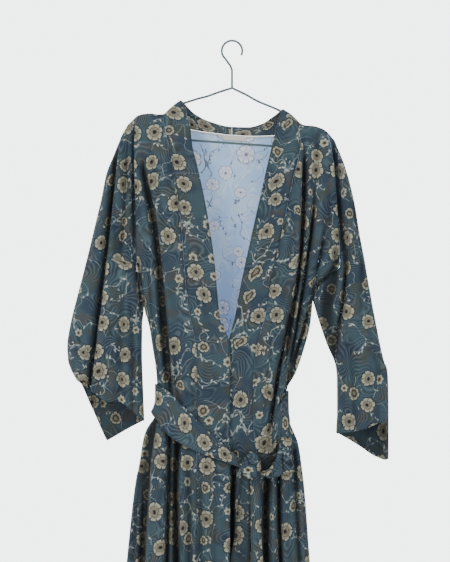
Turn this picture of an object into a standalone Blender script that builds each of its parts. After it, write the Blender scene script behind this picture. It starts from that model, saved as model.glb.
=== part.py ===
# A cotton kimono robe, tied with its belt, on a coated wire hanger.
# Metres and +Z up in the scene, millimetres in the tables. The front faces -Y.
# The origin is where a rail carries the hook. Left and right are the viewer's.

import math

import bmesh
import bpy
import numpy as np

MM = 0.001

# Driving sizes
HEM = -1374.0  # height of the hem below the rail
WALL = 1.6  # panels and sleeves
BAND_WALL = 2.2  # the band is folded double
FACING_WALL = 1.2
BELT_WALL = 1.8
SEAM = 0.2  # half of the gap that two pieces keep at a seam
APEX = -95.0  # where the hanger's two arms meet
WIRE_RADIUS = 2.0
ARMHOLE_DEPTH = 15.0  # half of the widest opening between front and back at an armhole
ARMHOLE_ROUND = 1.0  # how gently the opening closes towards its ends
SHOULDER_FALL = 90.0  # drop over which the cloth fills out below the shoulder line
RIDGE_FALL = 25.0  # drop over which the round of the shoulder line reaches the armhole
RIDGE_END = 0.85  # how open the section is at the sides, on the shoulder line
SIDE_CURVE = 0.4  # how squarely the section turns in at the sides
OVERLAP = 5.5  # how far the right front lies behind the left one
OVERLAP_FROM = (62.0, -545.0)  # right of this, or above it, the right front comes forward again
FOLD_LIMIT = 0.55  # the share of the hollow that a fold may take
DROP = 1220.0  # from the shoulder line to the hem, over which the rows below are counted
RIDGE_ROWS = 10.0  # rows nearer than this to the shoulder line turn over it
ROWS = (
    0, 1.5, 6, 15, 32, 60, 95, 135, 175, 215, 248, 279, 300, 318, 335, 355, 378, 405, 440, 478, 515, 545,
    570, 592, 612, 628, 645, 665, 690, 720, 765, 830, 915, 1010, 1110, 1220,
)


def table(columns, *rows):
    """Columns of numbers by name."""
    return {name: np.array([row[i] for row in rows], float) for i, name in enumerate(columns.split())}


def through(knots, values):
    """A smooth curve through the values that never overshoots them."""
    order = np.argsort(knots)
    x, y = np.asarray(knots, float)[order], np.asarray(values, float)[order]
    step = np.diff(x)
    slope = np.diff(y) / step
    before, after = slope[:-1], slope[1:]
    same_way = before * after > 0
    total = np.where(same_way, before + after, 1.0)
    bend = np.where(same_way, 2 * before * after / total, 0.0)
    tangent = np.concatenate([slope[:1], bend, slope[-1:]])

    def at(t):
        t = np.clip(t, x[0], x[-1])
        i = np.clip(np.searchsorted(x, t, side="right") - 1, 0, len(step) - 1)
        f = (t - x[i]) / step[i]
        start = y[i] * (1 + 2 * f) * (1 - f) ** 2 + step[i] * tangent[i] * f * (1 - f) ** 2
        end = y[i + 1] * (3 - 2 * f) * f**2 - step[i] * tangent[i + 1] * f**2 * (1 - f)
        return start + end

    return at


def column(rows, key, value):
    return through(rows[key], rows[value])


def ease(t):
    t = np.clip(t, 0.0, 1.0)
    return t * t * (3 - 2 * t)


# The top line of the cloth over the hanger's arms, with the dip beside each side of the neck
RIDGE = table(
    "x z",
    (-207, -162), (-195, -152.5), (-180, -148), (-165, -147), (-153, -149), (-141, -148.5),
    (-129, -138), (-104.5, -120), (-60, -109), (0, -92), (60, -119), (104, -138),
    (122, -149.5), (133, -160), (142, -168.5), (152, -171.5), (163, -172), (183, -177.5),
    (195, -185), (207, -197),
)

# Edges of the body: the armholes, then the side seams
SIDES = table(
    "z left right",
    (-150, -195, 195), (-152.5, -195, 195), (-185, -199, 195), (-220, -200, 203), (-257, -199.5, 209),
    (-325, -197, 213.5), (-376, -195.5, 217), (-457, -195, 221), (-470, -195, 210), (-483, -193, 194),
    (-509, -188.5, 170), (-530, -184, 166), (-556, -178, 163.5), (-583, -170, 160), (-620, -164, 150.7),
    (-683, -155, 129), (-715, -153.5, 112), (-757, -154, 112.5), (-770, -159, 114), (-790, -173, 122),
    (-805, -179.5, 129), (-820, -183, 135), (-857, -189, 141.5), (-920, -200, 149), (-1040, -213, 158), (HEM, -246, 185),
)
ARMHOLE_TOP = 195.0  # where each shoulder seam ends, from the middle
ARMHOLES = {-1: (-152.5, -470.0), 1: (-185.0, -457.0)}  # top and bottom, for the left and right side

# How far the body stands in front of and behind the plane of the hanger
DEPTHS = table(
    "z front back",
    (-150, 38, 35), (-400, 42, 36), (-560, 45, 37), (-650, 47, 38), (-735, 42, 37),
    (-830, 47, 40), (-950, 54, 45), (HEM, 66, 58),
)

# The band: its free edge and its seam on the panel
BAND_LEFT = table(
    "z edge seam",
    (-120, -104.5, -141), (-148.5, -94, -141), (-175, -86, -138), (-220, -80.5, -129), (-249, -73.5, -123),
    (-310, -59.5, -113), (-370, -48, -104.5), (-450, -36, -98), (-519, -29.5, -92), (-569, -24.6, -84),
    (-612, -6, -75), (-650, -4, -71), (-1000, -4, -71), (HEM, -8, -74),
)
BAND_RIGHT = table(
    "z edge seam",
    (-138, 104, 142), (-168.5, 93, 142), (-189, 89, 141), (-243, 76, 135), (-304, 62, 121), (-370, 47, 107),
    (-429, 33.6, 94), (-519, 14, 75), (-569, 5, 66), (-601, -4, 56), (-650, -14, 46), (-700, -20, 42),
    (-800, -18, 44), (-870, -6, 56), (-930, 0, 60), (-1040, -2, 58), (HEM, -14, 46),
)

# The back neck: its seam, and the band's free edge that leans back from it
BACK_NECK = table(
    "x z",
    (-141, -148.5), (-131, -163), (-93, -176), (-50, -182.5), (0, -188), (50, -190.5), (88, -189.5),
    (130, -182), (142, -168.5),
)
BACK_EDGE = table(
    "x y z",
    (-104.5, 0, -120), (-102, 5, -121.5), (-95, 14, -128), (-80, 28, -142), (-47, 46, -158),
    (-4, 54, -168), (35, 52, -169.5), (63.5, 42, -163), (81, 28, -153), (95, 14, -144),
    (101.5, 5, -139), (104, 0, -138),
)
NECK_SHARES = (0.03, 0.1, 0.2, 0.33, 0.48, 0.65, 0.83, 1.0)  # rows of the band, from a shoulder to the middle

# Folds: where each runs at three heights, how deep and how wide it is on either side
FRONT_FOLDS = table(
    "top_x top_z mid_x mid_z low_x low_z depth width",
    (-176, -257, -147, -440, -124, -702, 19, 15),
    (145, -250, 133, -440, 84, -700, 17, 13),
    (170, -364, 140, -510, 100, -690, 12, 11),
    (-149, -800, -163, -900, -190, -1374, 16, 10),
    (-133, -790, -138, -900, -146, -1374, 15, 9),
    (-104, -815, -105, -930, -106, -1374, 20, 12),
    (76, -880, 80, -1000, 92, -1374, 16, 11),
    (101, -860, 108, -1000, 126, -1374, 15, 11),
    (127, -800, 133, -960, 155, -1374, 10, 9),
)
BACK_FOLDS = table(
    "top_x top_z mid_x mid_z low_x low_z depth width",
    (-150, -330, -130, -520, -104, -690, 15, 24),
    (-60, -420, -52, -560, -44, -690, 10, 22),
    (60, -400, 48, -560, 34, -690, 12, 22),
    (165, -330, 132, -520, 84, -690, 9, 28),
    (-118, -760, -130, -900, -160, -1374, 20, 22),
    (-58, -760, -66, -900, -82, -1374, 18, 22),
    (2, -760, 0, -900, -8, -1374, 20, 24),
    (52, -760, 58, -900, 66, -1374, 18, 22),
    (92, -760, 104, -900, 134, -1374, 16, 20),
)
SLEEVE_FOLDS = {
    -1: table(
        "top_x top_z mid_x mid_z low_x low_z depth width",
        (-236, -250, -257, -384, -300, -690, 10, 15),
        (-212, -360, -222, -520, -232, -730, 7, 16),
    ),
    1: table(
        "top_x top_z mid_x mid_z low_x low_z depth width",
        (219, -300, 234, -456, 219, -640, 17, 15),
        (258, -420, 270, -560, 262, -760, 7, 18),
    ),
}
FOLD_FADE = 45.0  # each fold rises and dies away over this height

# Sleeves: a row for each section, from the shoulder to the cuff. The outer end is the top fold,
# the inner end is the armhole and then the underarm seam. Depth is half the section's thickness.
SLEEVES = {
    -1: table(
        "outer_x outer_z inner_x inner_z depth",
        (-213, -170, -195, -152.5, 14), (-226, -193.5, -199, -185, 16), (-242, -232, -199.7, -230, 18),
        (-257, -271, -198.7, -277, 20), (-268.5, -325, -196.8, -330, 22),
        (-278, -364, -195.5, -376, 23), (-290, -415, -195, -425, 25), (-303, -468, -195.4, -470, 27),
        (-316, -518, -190.5, -521, 29), (-329, -569, -185.6, -575, 31), (-337.5, -622, -184.4, -640, 32),
        (-336, -652, -181.8, -715, 32), (-330.7, -669, -179.5, -777, 32),
    ),
    1: table(
        "outer_x outer_z inner_x inner_z depth",
        (211, -203.7, 195, -185, 14), (221, -229.5, 202, -217, 16), (232, -257.5, 208.5, -254, 18),
        (243, -297, 212.4, -303, 20), (252, -339, 215, -350, 22),
        (260.5, -392, 218.7, -400, 23), (271.5, -447.5, 221.5, -458, 26), (277.5, -483, 198.5, -487, 28),
        (282.5, -510, 175.5, -513, 29), (288, -540, 174.3, -546, 30), (297, -583, 185.3, -591, 31),
        (304, -620, 194.3, -620, 32), (314, -667, 212, -664, 33), (320.2, -690, 215, -692, 34),
        (320.6, -750, 215.3, -755, 35), (320.6, -808, 213.2, -802, 35),
    ),
}
# How far the cuff edge hangs below the straight line, from the top fold (0) to the underarm seam (1)
CUFF_DROPS = {
    -1: table("place front back", (0, 0, 0), (0.12, 12, 21), (0.27, 12, 57), (0.47, 12, 101), (0.73, -9, 52), (1, 0, 0)),
    1: table("place front back", (0, 0, 0), (0.1, -22, 32), (0.25, -30, 50), (0.5, -16, 29), (1, 0, 0)),
}
SWELL_PEAK = 0.55
CAP_FALL = 60.0  # drop over which a sleeve fills out below the shoulder line
CUFF_START = 0.55  # the share of the sleeve's sections that hang straight
FACING_ROWS = 5

# The belt round the body: the angle from the front, positive to the right
BELT = table(
    "angle z half",
    (16, -858, 9), (7, -844, 13), (-2, -827, 21), (-19, -801, 29), (-37, -773, 34), (-50, -753, 36),
    (-68, -737, 32), (-90, -730, 28), (-135, -738, 28), (-180, -745, 28), (-225, -748, 28),
    (-270, -744, 28), (-290, -758, 31), (-302, -777, 33), (-310, -803, 34), (-317, -833, 29),
    (-324, -853, 19), (-331, -862, 10),
)
BELT_OUT = 3.6  # from the body's outer face to the belt's
KNOT_CENTRE = (38.0, -856.0)
KNOT_SIZE = (22.5, 15.0, 29.0)  # half sizes across, in depth and in height
LOOP = table(
    "x out top bottom",
    (58.5, 5.9, -838, -878), (84, 6.8, -806, -877), (108, 7.2, -790, -874), (131, 8, -812, -876),
    (141, 12, -850, -879), (132, 16.5, -813, -878), (108, 18.5, -782, -877), (80, 19.5, -800, -880),
    (59.5, 18.5, -842, -876),
)
LOOP_LAST_X = 98.0  # past this the loop stands clear of the side instead of following it
TAILS = {
    "tail_left": table(
        "z left right out",
        (-858, 20, 36, 6.1), (-876, 17, 36, 4.9), (-900, 17, 36, 3.6), (-925, 12, 36, 3.6), (-1000, 5, 35, 4),
        (-1040, -2, 35, 4), (-1180, -12, 40, 4),
    ),
    "tail_right": table(
        "z left right out",
        (-858, 36.5, 54, 6.1), (-876, 36.5, 56, 4.9), (-900, 36.5, 57, 3.6), (-1000, 37, 59, 4), (-1060, 39, 63, 4),
        (-1215, 46, 84, 4),
    ),
}
LABEL = (-20.0, 30.0, 9.0)  # from, to, and height

# The hanger
ARM_SLOPES = {-1: 0.314, 1: 0.47}  # it hangs about four degrees lower on the right
ARM_ENDS = {-1: (-170.0, 22.0), 1: (168.0, 21.0)}  # centre and radius of each end's bend
HOOK_RADIUS = 21.0
SHANK_TOP = -58.0

ridge = column(RIDGE, "x", "z")
side_x = {-1: column(SIDES, "z", "left"), 1: column(SIDES, "z", "right")}
depth_front = column(DEPTHS, "z", "front")
depth_back = column(DEPTHS, "z", "back")


def armhole_half(side, z):
    """Half of the armhole's opening at a height: none above or below it."""
    top, bottom = ARMHOLES[side]
    share = np.clip((top - z) / (top - bottom), 0.0, 1.0)
    return ARMHOLE_DEPTH * np.sin(math.pi * share) ** ARMHOLE_ROUND


def envelope(x, z, depth, out=0.0):
    """How far the body's cloth stands from the hanger's plane, before its folds."""
    left, right = side_x[-1](z) + SEAM - out, side_x[1](z) - SEAM + out
    place = np.clip((2 * x - left - right) / (right - left), -1.0, 1.0)
    below = np.maximum(ridge(x) - z, 0.0)
    full = (depth(z) + out) * np.sqrt(1 - np.exp(-below / SHOULDER_FALL))
    hole = np.where(x < 0, armhole_half(-1, z), armhole_half(1, z))
    open_end = RIDGE_END * np.exp(-below / RIDGE_FALL)
    return hole + np.maximum(full - hole, 0.0) * (1 - (1 - open_end) * place**2) ** SIDE_CURVE


def fold_depth(folds, x, z):
    """How far the folds take the cloth in at each point."""
    total = np.zeros_like(x)
    for row in zip(*folds.values()):
        top_x, top_z, mid_x, mid_z, low_x, low_z, depth, width = row
        line = through([low_z, mid_z, top_z], [low_x, mid_x, top_x])
        across = np.clip(1 - np.abs(x - line(z)) / width, 0.0, 1.0)
        start, end = ease((top_z + FOLD_FADE - z) / (2 * FOLD_FADE)), ease((z - low_z + FOLD_FADE) / (2 * FOLD_FADE))
        total += depth * ease(across) * start * (1.0 if low_z <= HEM else end)
    return total


def front_y(x, z, behind=False):
    """The outer face of the front. The right front lies behind the left one where they cross."""
    plain = envelope(x, z, depth_front)
    folds = np.minimum(fold_depth(FRONT_FOLDS, x, z), FOLD_LIMIT * plain)
    y = -SEAM - plain + folds
    if behind:
        from_x, from_z = OVERLAP_FROM
        y = y + OVERLAP * ease((from_x - x) / 45) * ease((from_z - z) / 50)
    return y


def back_y(x, z):
    plain = envelope(x, z, depth_back)
    return SEAM + plain - np.minimum(fold_depth(BACK_FOLDS, x, z), FOLD_LIMIT * plain)


def hang(top_x, top_line, x_of):
    """Points of cloth that hangs from a top line: rows share their drop, columns their top."""
    down = np.array(ROWS)[:, None] / DROP
    top = top_line(top_x)[None, :]
    z = top + (HEM - top) * down
    x = x_of(z)
    return x, z + (top_line(x) - top) * (1 - down) ** 6


def at_ridge(points, side):
    """The points, with the top row on the shoulder line, half a seam from the other panel's."""
    points[0, :, 1] = side * SEAM
    return points


def front_panel(side):
    """One front, from its band seam to its armhole and side seam."""
    band = BAND_LEFT if side < 0 else BAND_RIGHT
    seam = column(band, "z", "seam")
    share = np.sin(np.linspace(0, math.pi / 2, 13))
    inner_top, outer_top = band["seam"][0], side * ARMHOLE_TOP

    def x_of(z):
        inner = seam(z[:, :1]) + side * SEAM
        outer = side_x[side](z[:, -1:]) - side * SEAM
        return inner + (outer - inner) * share

    x, z = hang(inner_top + (outer_top - inner_top) * share, ridge, x_of)
    return at_ridge(np.stack([x, front_y(x, z, behind=side > 0), z], axis=-1), -1)


def neck_places(side):
    """Places along the back neck seam, from a shoulder to the middle."""
    start = BACK_NECK["x"][0 if side < 0 else -1]
    return start - start * np.array(NECK_SHARES)


def back_panel():
    """The back, whose top line is the shoulder seams and the back neck seam."""
    neck = column(BACK_NECK, "x", "z")
    first, last = BACK_NECK["x"][0], BACK_NECK["x"][-1]
    shoulder = np.sin(np.linspace(0, math.pi / 2, 7))
    left = -ARMHOLE_TOP + (first + ARMHOLE_TOP) * (1 - shoulder[::-1])
    right = ARMHOLE_TOP + (last - ARMHOLE_TOP) * (1 - shoulder)
    top_x = np.concatenate([left, neck_places(-1), neck_places(1)[-2::-1], right])
    share = (top_x + ARMHOLE_TOP) / (2 * ARMHOLE_TOP)

    def top_line(x):
        return np.where((x > first) & (x < last), neck(x), ridge(x))

    def x_of(z):
        left, right = side_x[-1](z[:, :1]), side_x[1](z[:, -1:])
        x = left + (right - left) * share
        return np.clip(x, left + SEAM, right - SEAM)

    x, z = hang(top_x, top_line, x_of)
    y = back_y(x, z)
    on_ridge = (x[0] <= first) | (x[0] >= last)
    y[0] = np.where(on_ridge, SEAM, y[0])
    return np.stack([x, y, z], axis=-1)


def band(side):
    """Half of the band: down one front, and round the back neck to its middle."""
    rows = BAND_LEFT if side < 0 else BAND_RIGHT
    edge, seam = column(rows, "z", "edge"), column(rows, "z", "seam")
    across = np.linspace(0, 1, 4)
    tops = rows["seam"][0] + (rows["edge"][0] - rows["seam"][0]) * across

    def x_of(z):
        inner = seam(z[:, :1]) - side * SEAM
        return inner + (edge(z[:, -1:]) - inner) * across

    x, z = hang(tops, ridge, x_of)
    front = np.stack([x, front_y(x, z, behind=side > 0), z], axis=-1)[::-1]
    front[-1, :, 1] = 0.0

    seam_x = neck_places(side)[:, None]
    seam_z = column(BACK_NECK, "x", "z")(seam_x)
    seam_y = back_y(seam_x, seam_z)
    shares = np.array(NECK_SHARES)[:, None]
    edge_x = rows["edge"][0] * (1 - shares)
    seam_line = np.concatenate([seam_x, seam_y, seam_z + 2 * SEAM], axis=1)
    edge_y, edge_z = column(BACK_EDGE, "x", "y")(edge_x), column(BACK_EDGE, "x", "z")(edge_x)
    edge_line = np.concatenate([edge_x, edge_y, edge_z], axis=1)
    seam_line[-1, 0] = edge_line[-1, 0] = side * SEAM
    back = seam_line[:, None, :] + (edge_line - seam_line)[:, None, :] * across[None, :, None]
    return np.concatenate([front, back])


def sleeve(side, half_columns=10):
    """A sleeve: each row runs from the front armhole round the top fold to the back armhole."""
    sections = SLEEVES[side]
    count = len(sections["depth"])
    steps = np.linspace(0, 1, count)
    at = {name: through(steps, values) for name, values in sections.items()}
    between = [0.06, 0.25, 0.6, 5.5, 6.5, 7.5, count - 2.5, count - 1.5]
    down = np.sort(np.concatenate([np.arange(count), between]))[:, None] / (count - 1)
    place = np.linspace(0, 1, half_columns + 1)
    is_open = ease((at["inner_z"](down) - ARMHOLES[side][1]) / 40)
    closed_share = (1 - np.cos(math.pi * place)) / 2
    out_share = closed_share + (np.sin(math.pi / 2 * place) - closed_share) * is_open
    drop = CUFF_DROPS[side]
    halves = []
    for name, sign in (("front", -1), ("back", 1)):
        inner_z, outer_z = at["inner_z"](down), at["outer_z"](down)
        body_x = side_x[side](inner_z)
        inner_x = side * (np.maximum(side * at["inner_x"](down), side * body_x) + SEAM)
        x = inner_x + (at["outer_x"](down) - inner_x) * out_share
        z = inner_z + (outer_z - inner_z) * out_share
        low = ease((down - CUFF_START) / (1 - CUFF_START))
        z = z - low * through(drop["place"], drop[name])(1 - out_share)
        hole = envelope(body_x, inner_z, depth_front if sign < 0 else depth_back) * (is_open > 0)
        below = np.maximum(z[:1] - z, 0)
        start_curve = 2 * SIDE_CURVE + 0.6 * is_open
        swell = np.sin(math.pi / 2 * place) ** start_curve * np.cos(math.pi / 2 * place) ** (2 * SIDE_CURVE)
        bulge = at["depth"](down) * swell / SWELL_PEAK * np.sqrt(1 - np.exp(-below / CAP_FALL))
        y = hole * np.cos(math.pi / 2 * place) + bulge
        y = y - np.minimum(fold_depth(SLEEVE_FOLDS[side], x, z), FOLD_LIMIT * y) * (sign < 0)
        y[0] = 0
        y = sign * (y + SEAM * (place < 1))
        halves.append(np.stack([x, y, z], axis=-1))
    return np.concatenate([halves[0], halves[1][:, ::-1][:, 1:]], axis=1)


def around(angle, z, out):
    """A point of the body's section at a height, moved out by a distance."""
    sine, cosine = np.sin(np.radians(angle)), np.cos(np.radians(angle))
    left, right = side_x[-1](z) - out, side_x[1](z) + out
    x = (left + right) / 2 + (right - left) / 2 * sine
    depth = np.where(cosine > 0, depth_front(z), depth_back(z)) + out
    y = -np.sign(cosine) * depth * np.abs(cosine) ** (2 * SIDE_CURVE)
    return x, y - np.sign(cosine) * SEAM, z


def belt():
    """The belt: rows round the body, columns from its upper to its lower edge."""
    steps = np.linspace(BELT["angle"][0], BELT["angle"][-1], 56)[:, None]
    angles = steps + 8 * np.sin(np.radians(2 * steps)) * ((steps < -20) & (steps > -320))
    middle = column(BELT, "angle", "z")(angles)
    half = column(BELT, "angle", "half")(angles)
    x, y, z = around(angles, middle - half * np.linspace(-1, 1, 5)[None, :], BELT_OUT)
    return np.stack([x, y, z], axis=-1)


def bow_loop():
    """The half bow: a strip that leaves the knot to the right and comes back in front of itself."""
    steps = np.linspace(0, 1, len(LOOP["x"]))
    at = {name: through(steps, values) for name, values in LOOP.items()}
    along = np.linspace(0, 1, 19)[:, None]
    z = at["top"](along) + (at["bottom"](along) - at["top"](along)) * np.linspace(0, 1, 4)[None, :]
    x = at["x"](along) + 0 * z
    base = envelope(np.minimum(x, LOOP_LAST_X), z, depth_front)
    return np.stack([x, -base - at["out"](along), z], axis=-1)


def tail(rows):
    """A belt end: points of the front moved out, cupped a little along its length."""
    z = np.linspace(rows["z"][0], rows["z"][-1], 14)[:, None]
    place = np.linspace(0, 1, 4)[None, :]
    left, right = column(rows, "z", "left")(z), column(rows, "z", "right")(z)
    x = left + (right - left) * place
    out = column(rows, "z", "out")(z) + 2.0 * np.sin(math.pi * place) * ease((z[0] - z) / 60)
    return np.stack([x, -envelope(x, z + 0 * x, depth_front) - SEAM - out, z + 0 * x], axis=-1)


def label():
    """The blank tape below the back neck seam, on the inside of the back."""
    start, end, height = LABEL
    x = np.linspace(start, end, 5)[None, :] + np.zeros((2, 1))
    z = column(BACK_NECK, "x", "z")(x) - np.array([[2.0], [2.0 + height]])
    y = SEAM + envelope(x, z, depth_back) - WALL - 0.35
    return np.stack([x, y, z], axis=-1)


def front_normals(points, behind):
    """Unit normals of the front's outer face, the same for the pieces that meet at a point of it."""
    x, z, step = points[..., 0], points[..., 2], 1.0
    by_x = (front_y(x + step, z, behind) - front_y(x - step, z, behind)) / (2 * step)
    by_z = (front_y(x, z + step, behind) - front_y(x, z - step, behind)) / (2 * step)
    normal = np.stack([by_x, -np.ones_like(x), by_z], axis=-1)
    return normal / np.linalg.norm(normal, axis=-1, keepdims=True)


def back_normals(points):
    """Unit normals of the back's outer face."""
    x, z, step = points[..., 0], points[..., 2], 1.0
    by_x = (back_y(x + step, z) - back_y(x - step, z)) / (2 * step)
    by_z = (back_y(x, z) - back_y(x, z - step)) / step
    normal = np.stack([-by_x, np.ones_like(x), -by_z], axis=-1)
    return normal / np.linalg.norm(normal, axis=-1, keepdims=True)


def outward_normals(points, sign):
    """Unit normals of a grid. Where it meets its mirror at a seam they stay in the seam's plane."""
    across, along = np.gradient(points, axis=1), np.gradient(points, axis=0)
    normal = np.cross(across, along) * sign
    size = np.linalg.norm(normal, axis=-1, keepdims=True)
    normal = normal / np.maximum(size, 1e-9)
    at_seam = np.abs(points[..., 1]) <= SEAM * 1.5
    normal[..., 1] = np.where(at_seam, 0.0, normal[..., 1])
    return normal / np.maximum(np.linalg.norm(normal, axis=-1, keepdims=True), 1e-9)


def material(name, colour, roughness, metallic=0.0):
    made = bpy.data.materials.new(name)
    made.use_nodes = True
    shader = made.node_tree.nodes["Principled BSDF"]
    shader.inputs["Base Color"].default_value = (*colour, 1.0)
    shader.inputs["Roughness"].default_value = roughness
    shader.inputs["Metallic"].default_value = metallic
    return made


def add_object(name, mesh, finish):
    made = bpy.data.objects.new(name, mesh)
    bpy.context.scene.collection.objects.link(made)
    mesh.materials.append(finish)
    mesh.shade_smooth()
    return made


def moved_in(outer, normal, distance):
    """The grid moved in, each row kept between its own ends and on its own side of the hanger's plane."""
    inner = outer - normal * distance
    across, depth = outer[..., 0], outer[..., 1]
    inner[..., 0] = np.clip(inner[..., 0], across.min(axis=1)[:, None], across.max(axis=1)[:, None])
    inner[..., 1] = np.where(depth < -SEAM / 2, np.minimum(inner[..., 1], -SEAM), inner[..., 1])
    inner[..., 1] = np.where(depth > SEAM / 2, np.maximum(inner[..., 1], SEAM), inner[..., 1])
    return inner


def cloth(name, outer, wall, sign, finish, inner_from=0.0, seams=(), panel=True):
    """A closed wall of cloth: a grid of outer points, and the same grid moved in along its normals."""
    normal = outward_normals(outer, sign)
    for rows, columns, at_seam in seams:
        normal[rows, columns] = at_seam
    layers = [outer - normal * inner_from, outer - normal * (inner_from + wall)]
    if panel:
        layers[1] = moved_in(outer, normal, inner_from + wall)
    rows, columns = outer.shape[:2]
    build = bmesh.new()
    grids = [[[build.verts.new(p * MM) for p in row] for row in layer] for layer in layers]
    front, rear = grids
    for i in range(rows - 1):
        for j in range(columns - 1):
            build.faces.new((front[i][j], front[i][j + 1], front[i + 1][j + 1], front[i + 1][j]))
            build.faces.new((rear[i][j], rear[i + 1][j], rear[i + 1][j + 1], rear[i][j + 1]))
    edge = [(0, j) for j in range(columns)] + [(i, columns - 1) for i in range(1, rows)]
    edge += [(rows - 1, j) for j in range(columns - 2, -1, -1)] + [(i, 0) for i in range(rows - 2, 0, -1)]
    for (i, j), (k, m) in zip(edge, edge[1:] + edge[:1]):
        build.faces.new((front[i][j], rear[i][j], rear[k][m], front[k][m]))
    bmesh.ops.recalc_face_normals(build, faces=build.faces)
    mesh = bpy.data.meshes.new(name)
    build.to_mesh(mesh)
    build.free()
    return add_object(name, mesh, finish)


def add_knot(finish):
    """The knot: a pillow with a crease where one turn crosses the other."""
    centre_x, centre_z = KNOT_CENTRE
    half_x, half_y, half_z = KNOT_SIZE
    back_face = float(envelope(np.array(centre_x), np.array(centre_z), depth_front, BELT_OUT)) + 2.9
    bpy.ops.mesh.primitive_uv_sphere_add(segments=14, ring_count=9, radius=1.0)
    made = bpy.context.object
    made.name = made.data.name = "knot"
    for vertex in made.data.vertices:
        x, y, z = vertex.co
        crease = 1 - 0.2 * math.exp(-(((x - 0.8 * z) / 0.25) ** 2)) * (y < 0)
        vertex.co.x = (centre_x + half_x * x) * MM
        vertex.co.y = (-back_face - half_y + half_y * max(y, -1.0) * crease) * MM
        vertex.co.z = (centre_z + half_z * z) * MM
    made.data.materials.append(finish)
    made.data.shade_smooth()
    return made


def arm_z(side, x):
    """Centre of an arm: straight, but always just under the cloth that lies on it."""
    straight = APEX - ARM_SLOPES[side] * abs(x)
    near = ridge(x + np.linspace(-3, 3, 7))
    slant = math.hypot(1.0, (near[-1] - near[0]) / 6)
    return min(straight, float(near.min()) - (BAND_WALL + 2 * SEAM + WIRE_RADIUS) * slant)


def hanger_loop():
    """Centreline of the arms and bar, once round."""
    points = [(0.0, 0.0, APEX)]
    for side in (1, -1):
        centre, radius = ARM_ENDS[side]
        arm = [(x, 0.0, arm_z(side, x)) for x in np.linspace(12 * side, centre, 17)]
        top = arm[-1][2]
        turn = np.linspace(0, math.pi, 8)[1:]
        bend = [
            (centre + side * radius * math.sin(a), 0.0, top - radius + radius * math.cos(a))
            for a in turn
        ]
        points += arm + bend if side > 0 else (arm + bend)[::-1]
    return points


def hook_line():
    """Centreline of the hook: from the apex up the shank, then over the rail to the tip."""
    centre_z = WIRE_RADIUS - HOOK_RADIUS
    shank = [(0.0, 0.0, APEX + 1.0), (0.0, 0.0, APEX + 20), (0.0, 0.0, SHANK_TOP), (-3.0, 0.0, SHANK_TOP + 8)]
    round_part = [
        (HOOK_RADIUS * math.cos(a), 0.0, centre_z + HOOK_RADIUS * math.sin(a))
        for a in np.radians(np.linspace(228, -25, 20))
    ]
    return shank + round_part


def tube(name, points, radius, closed, finish):
    curve = bpy.data.curves.new(name, "CURVE")
    curve.dimensions = "3D"
    curve.bevel_depth = radius * MM
    curve.bevel_resolution = 2
    curve.use_fill_caps = not closed
    line = curve.splines.new("POLY")
    line.points.add(len(points) - 1)
    for target, point in zip(line.points, points):
        target.co = (*(c * MM for c in point), 1.0)
    line.use_cyclic_u = closed
    made = bpy.data.objects.new(name, curve)
    bpy.context.scene.collection.objects.link(made)
    made.data.materials.append(finish)
    graph = bpy.context.evaluated_depsgraph_get()
    mesh = bpy.data.meshes.new_from_object(made.evaluated_get(graph))
    bpy.data.objects.remove(made)
    solid = bpy.data.objects.new(name, mesh)
    bpy.context.scene.collection.objects.link(solid)
    mesh.shade_smooth()
    return solid


def add_hanger(finish):
    hanger = tube("hanger", hanger_loop(), WIRE_RADIUS, True, finish)
    hook = tube("hook_shape", hook_line(), WIRE_RADIUS + 0.25, False, finish)
    join = hanger.modifiers.new("Hook", "BOOLEAN")
    join.operation = "UNION"
    join.object = hook
    hook.hide_render = True
    hook.display_type = "WIRE"
    return hanger


def main():
    for old in list(bpy.data.objects):
        bpy.data.objects.remove(old)
    print_cloth = material("printed_cotton", (0.12, 0.21, 0.25), 0.85)
    sleeve_cloth = material("sleeve_cotton", (0.11, 0.2, 0.24), 0.85)
    band_cloth = material("band_cotton", (0.13, 0.23, 0.27), 0.85)
    tie_cloth = material("belt_cotton", (0.14, 0.24, 0.28), 0.85)
    tape = material("cream_tape", (0.72, 0.66, 0.52), 0.8)
    coating = material("wire_coating", (0.1, 0.19, 0.22), 0.5)

    level = np.array(ROWS)
    for side, word in ((-1, "left"), (1, "right")):
        panel, strip = front_panel(side), band(side)
        rows = np.flatnonzero(level > RIDGE_ROWS)
        strip_rows = len(level) - 1 - rows
        neck_rows = np.arange(len(level), len(strip))
        front_seam = (rows, 0, front_normals(panel[rows, 0], side > 0))
        strip_seams = [
            (strip_rows, 0, front_normals(strip[strip_rows, 0], side > 0)),
            (neck_rows, 0, back_normals(strip[neck_rows, 0])),
        ]
        cloth(f"front_{word}", panel, WALL, -side, print_cloth, seams=[front_seam])
        cloth(f"band_{word}", strip, BAND_WALL, -side, band_cloth, seams=strip_seams)
        arm = sleeve(side)
        cloth(f"sleeve_{word}", arm, WALL, -side, sleeve_cloth)
        inside = arm[-FACING_ROWS:, 2:-2]
        cloth(f"facing_{word}", inside, FACING_WALL, -side, band_cloth, inner_from=WALL + 0.35)
    rear = back_panel()
    neck = np.flatnonzero((rear[0, :, 0] > BACK_NECK["x"][0]) & (rear[0, :, 0] < BACK_NECK["x"][-1]))
    cloth("back", rear, WALL, 1, print_cloth, seams=[(0, neck, back_normals(rear[0, neck]))])
    cloth("neck_label", label(), 0.7, 1, tape, panel=False)
    cloth("belt", belt(), BELT_WALL, -1, tie_cloth, panel=False)
    cloth("bow_loop", bow_loop(), BELT_WALL, 1, tie_cloth, panel=False)
    for name, rows in TAILS.items():
        cloth(name, tail(rows), BELT_WALL, -1, tie_cloth, panel=False)
    add_knot(tie_cloth)
    add_hanger(coating)


main()
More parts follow.
